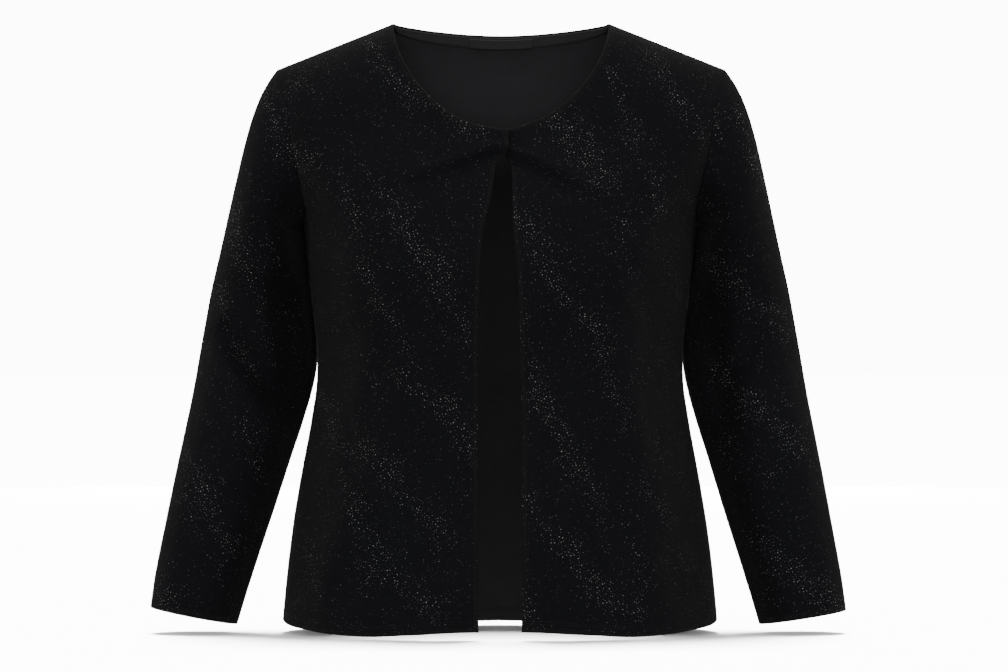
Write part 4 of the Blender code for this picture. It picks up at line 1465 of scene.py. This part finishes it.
cloth = {
    # flat and area are those of the cut that shows; tall is the height of one of a panel's rows,
    # or of a whole sleeve below its cap
    "front": {"flat": (0.310, 0.620), "area": 0.138, "tall": 0.33 / 8},
    "back": {"flat": (0.560, 0.612), "area": 0.295, "tall": 0.393 / 12},
    "sleeve": {"flat": (0.400, 0.600), "area": 0.158, "tall": 0.40},
    "tape": {
        "flat": (0.228, 0.0135), "area": 0.00305, "wall": 0.001, "gap": 0.0009, "rows": 7, "columns": 121,
        "needles": (0.14, 0.86),
    },
    "label": {"flat": (0.065, 0.011), "wall": 0.001, "drop": 0.0012, "rows": 9, "columns": 41},
    "cutWidth": 0.33,
    "trimEdge": 0.0003,
    "seeds": {"front_right": 31, "front_left": 32, "back": 33, "sleeve_right": 34, "sleeve_left": 35},
}
parts = {}
necklines = {}


def cutOf(around, down):
    return np.stack([around * cloth["cutWidth"], -down], -1)


def layPanel(name, node, cutter, grid, tall, atFront=False):
    # one of the panels on the body, with its hem
    across, up = edgeShares(grid["columns"])[None, :], edgeShares(grid["rows"])[:, None]
    points, around, down = cutter.point(across, up)
    edges = distanceFrom(points, 0)
    if atFront:
        edges = np.minimum(edges, distanceFrom(points, 1))
    behind = np.full(points.shape[:2], not atFront)
    towards = (0, cutter.facing, 0)
    panel = sewPanel(name + "Panel", node, points, cutOf(around, down), towards, behind, edges)
    whole = tall * cutter.rows

    def hemAt(height):
        return cutter.point(across, height / whole)[0]

    return panel + turnHem(name + "Hem", hemAt, towards, around[0] * cloth["cutWidth"])


for name, side, title in (("front_right", -1, "frontRight"), ("front_left", 1, "frontLeft")):
    cutter = Front(name, side)
    parts[name] = layPanel(title, name, cutter, fronts, cloth["front"]["tall"], atFront=True)
    neckUp = cutter.bodyRows / cutter.rows
    up = np.linspace(0, neckUp, fronts["edgeSteps"])
    edge = cutter.point(0.0, up, -body["wall"] / 2)[0]
    first, last = fronts["edgeStitchTrim"]
    inside = sewing["bandWidth"] / cloth["front"]["flat"][0]
    stitched = cutter.point(inside, up[first:last], sewing["threadLift"])[0]
    parts[name] += [
        roll(title + "EdgeRoll", [edge], sewing["frontEdgeRadius"], edgeKnit),
        stitch(title + "EdgeStitches", [stitched]),
    ]
    necklines[name] = cutter.point(0.0, np.linspace(neckUp, 1, fronts["neckSteps"]), -body["wall"] / 2)[0]
    sideUp = np.linspace(fronts["sideSeamFoot"], neckUp, fronts["sideSeamSteps"])
    sideSeam = cutter.point(1.0, sideUp)[0] - (side * sewing["seamInset"], 0, 0)
    shoulder = cutter.point(np.linspace(*fronts["shoulderSeamSpan"]), 1.0)[0] - (0, 0, sewing["seamInset"])
    parts[name] += overlock(title, [sideSeam, shoulder])
    print(title, "laid")

back = Back()
parts["back"] = layPanel("back", "back", back, backCut, cloth["back"]["tall"])
across = np.linspace(back.edge, 1 - back.edge, backCut["neckSteps"])
backNeck = back.point(across, 1.0, -body["wall"] / 2)[0]
neckline = np.vstack([necklines["front_right"], backNeck, necklines["front_left"][::-1]])
# the binding's lighter colour paints the highlight along the rolled neck edge
binding = sewing["bindingRadius"], bindingKnit, sewing["bindingStep"], sewing["bindingSides"]
parts["back"].append(roll("neckBinding", [neckline], *binding))
print("back laid")

for name, side, title in (("sleeve_right", -1, "sleeveRight"), ("sleeve_left", 1, "sleeveLeft")):
    cutter = Sleeve(name, side)
    around = np.linspace(0, 1, sleeves["columns"] + 1)[None, :]
    cap = np.linspace(0, 1, sleeves["capRows"] + 1)[:-1] ** sleeves["capCrowding"]
    points = cutter.point(around, np.concatenate([cap, 1 + edgeShares(sleeves["tubeRows"])])[:, None])
    cut = np.stack(np.broadcast_arrays(around * sleeves["girth"], -runOf(points[:, [0]])), -1)
    behind = np.broadcast_to(around > 0.5, points.shape[:2])
    edges = distanceFrom(points, 0, fromEnd=True)
    tube = sewPanel(title + "Tube", name, points, cut, (0, -1, 0), behind, edges, closed=True)

    def cuffAt(height):
        return cutter.point(around, 2 - height / cloth["sleeve"]["tall"])

    cuff = turnHem(title + "Cuff", cuffAt, (0, -1, 0), around[0] * sleeves["girth"], closed=True)
    under = cutter.point(0.5, np.linspace(*sleeves["underarmSpan"])) + (side * sewing["seamInset"], 0, 0)
    parts[name] = tube + cuff + overlock(title, [cutter.armholeLine(sewing["seamInset"]), under])
    print(title, "laid")


# the tape and the bare label at the back of the neck

def layTrim(name, node, rule, points, flat, material):
    piece = addPiece(name, layGrid(name, points, cutOf(*flat), (0, 1, 0)), [material] * 2, node)
    growWall(piece, rule["wall"], cloth["trimEdge"], 0)
    return piece


tapeCut, labelCut = cloth["tape"], cloth["label"]
inset = body["wall"] + tapeCut["gap"]
across = np.linspace(back.edge, 1 - back.edge, tapeCut["columns"])[None, :]
up = np.linspace(0, 1, tapeCut["rows"])[:, None]
points, *flat = back.point(across, 1 - (1 - up) / back.rows, -inset)
tape = layTrim("neckTape", "neck_tape", tapeCut, points, flat, tapeKnit)
inset = inset + tapeCut["wall"] + sewing["threadLift"]
tapeStitches = stitch("neckTapeStitches", [
    back.point(across[0, 1:-1], 1 - share / back.rows, -inset)[0] for share in tapeCut["needles"]
])

inset = inset + tapeCut["gap"] - sewing["threadLift"]
reach = (0.5 - back.edge) * labelCut["flat"][0] / back.neck.lengths[-1]
across = np.linspace(0.5 - reach, 0.5 + reach, labelCut["columns"])[None, :]
up = np.linspace(0, 1, labelCut["rows"])[:, None]
around, down = np.moveaxis(back.place(across, np.ones_like(across)), -1, 0)
flat = np.broadcast_arrays(around, down + labelCut["drop"] + (1 - up) * labelCut["flat"][1])
points = lean(torsoPoint(*flat, 1) - torsoNormal(*flat, 1) * inset)
label = layTrim("neckLabel", "label", labelCut, points, flat, satin)
print("tape and label laid")


# the hook under the right front's lap, round the bar that is sewn to the left front

fastener = {
    "x": 0.0043,
    "sink": 0.0022,
    "apart": 0.0011,
    "hookLength": 0.0040,
    "eyeLength": 0.0034,
    "radius": 0.0004,
    "step": 0.0002,
    "sides": 10,
    # how far along its length and how many gaps down each point of a wire lies
    "hookPath": table(
        "run deep",
        (-0.50, 0.0), (0.20, 0.0), (0.40, 0.25), (0.50, 1.0), (0.40, 1.75), (0.20, 2.0), (0.02, 2.0),
    ),
    "eyePath": table(
        "run deep", (-0.50, 0.45), (-0.44, 0.08), (-0.36, 0.0), (0.36, 0.0), (0.44, 0.08), (0.50, 0.45)
    ),
}


def bendWires():
    front = Front("front_right", -1)
    around, down = placeOf(np.array(fastener["x"]), np.array(fronts["closureZ"]))
    base = torsoPoint(around, down, -1)
    out = torsoNormal(around, down, -1)
    middle = lean(base + out * (front.drape(base[0], base[2]) - fastener["sink"]))
    across = np.array([fastener["hookLength"], 0, 0])
    along = unit(np.cross(out, across)) * fastener["eyeLength"]
    for name, node, way, run, path in (
        ("hookWire", "hook", 1, across, fastener["hookPath"]),
        ("eyeWire", "eye", -1, along, fastener["eyePath"]),
    ):
        start = middle + out * way * fastener["apart"] / 2
        line = start + run * path["run"][:, None] - out * fastener["apart"] * path["deep"][:, None]
        look = fastener["radius"], enamel, fastener["step"], fastener["sides"]
        roll(name, [line], *look, "hook_enamel", node)


bendWires()

# camera, light and floor

view = {"x": 0.004, "y": -4.5, "z": -0.312, "wide": 1.008, "sensor": 36}
studio = {
    "floorZ": -0.6085,
    "floorSize": 60.0,
    "backdrop": 12.0,
    "skyBelow": 0.16,
    "skyAbove": 1.35,
    # the sun that lights only the floor comes from a little behind
    "floorSun": {"power": 43.0, "angle": 22.0, "tilt": -13.0, "place": (0, 0, 3)},
    "floorDark": (0.93, 0.93, 0.93, 1),
    "floorLight": (0.95, 0.95, 0.95, 1),
    "floorCloud": 1.5,
    "floorRoughness": 0.9,
    "floorSpecular": 0.1,
    "lampAim": (0, 0, -0.3),
    "lamps": {
        "frontSoftbox": {"place": (0.0, -4.3, 0.10), "size": 1.5, "power": 118.0},
        "backSoftbox": {"place": (0.0, 4.3, -0.10), "size": 1.7, "power": 90.0},
        "leftSoftbox": {"place": (3.9, -1.6, 0.30), "size": 1.2, "power": 70.0},
        "rightSoftbox": {"place": (-3.9, -1.6, 0.30), "size": 1.2, "power": 70.0},
    },
}


def placeCamera():
    camera = bpy.data.objects.new("camera", bpy.data.cameras.new("camera"))
    camera.location = (view["x"], view["y"], view["z"])
    camera.rotation_euler = (math.pi / 2, 0, 0)
    camera.data.sensor_width = view["sensor"]
    camera.data.lens = -view["y"] * view["sensor"] / view["wide"]
    bpy.context.scene.collection.objects.link(camera)
    bpy.context.scene.camera = camera


def layFloor():
    half = studio["floorSize"] / 2
    mesh = bpy.data.meshes.new("floor")
    corners = [(-half, -half), (half, -half), (half, half), (-half, half)]
    mesh.from_pydata([(x, y, studio["floorZ"]) for x, y in corners], [], [(0, 1, 2, 3)])

    def values(nodes):
        cloud = nodes.noise(studio["floorCloud"])
        return {"Base Color": nodes.blend(cloud, studio["floorDark"], studio["floorLight"])}

    settings = {"Roughness": studio["floorRoughness"], "Specular IOR Level": studio["floorSpecular"]}
    mesh.materials.append(newMaterial("paleFloor", settings, values))
    floor = bpy.data.objects.new("floor", mesh)
    floor.visible_diffuse = floor.visible_glossy = floor.visible_shadow = False
    bpy.context.scene.collection.objects.link(floor)
    return floor


def hangLamp(name, kind, energy, place, turn, receiver=None):
    data = bpy.data.lights.new(name, kind)
    data.energy = energy
    lamp = bpy.data.objects.new(name, data)
    lamp.location, lamp.rotation_euler = place, turn
    lamp.visible_camera = False
    bpy.context.scene.collection.objects.link(lamp)
    if receiver:
        lit = bpy.data.collections.new(name + "Lit")
        lit.objects.link(receiver)
        lamp.light_linking.receiver_collection = lit
    return data


def lightStudio(floor):
    world = bpy.data.worlds.new("studio")
    world.use_nodes = True
    world.node_tree.nodes.clear()
    nodes = Nodes(world.node_tree)
    around = nodes.add("ShaderNodeTexCoord", None, None, "Generated")
    height = nodes.add("ShaderNodeSeparateXYZ", None, {0: around}, "Z") * 0.5 + 0.5
    sky = studio["skyBelow"] + height * (studio["skyAbove"] - studio["skyBelow"])
    seen = nodes.add("ShaderNodeLightPath", None, None, "Is Camera Ray")
    strength = seen * studio["backdrop"] + (1 - seen) * sky
    light = nodes.add("ShaderNodeBackground", None, {"Color": (1, 1, 1, 1), "Strength": strength})
    nodes.add("ShaderNodeOutputWorld", None, {"Surface": light})
    bpy.context.scene.world = world
    rule = studio["floorSun"]
    turn = (math.radians(rule["tilt"]), 0, 0)
    sun = hangLamp("floorSun", "SUN", rule["power"], rule["place"], turn, floor)
    sun.angle = math.radians(rule["angle"])
    for name, lamp in studio["lamps"].items():
        aim = (Vector(studio["lampAim"]) - Vector(lamp["place"])).to_track_quat("-Z", "Y")
        softbox = hangLamp(name, "AREA", lamp["power"], lamp["place"], aim.to_euler())
        softbox.size = lamp["size"]


placeCamera()
lightStudio(layFloor())
print("studio built")
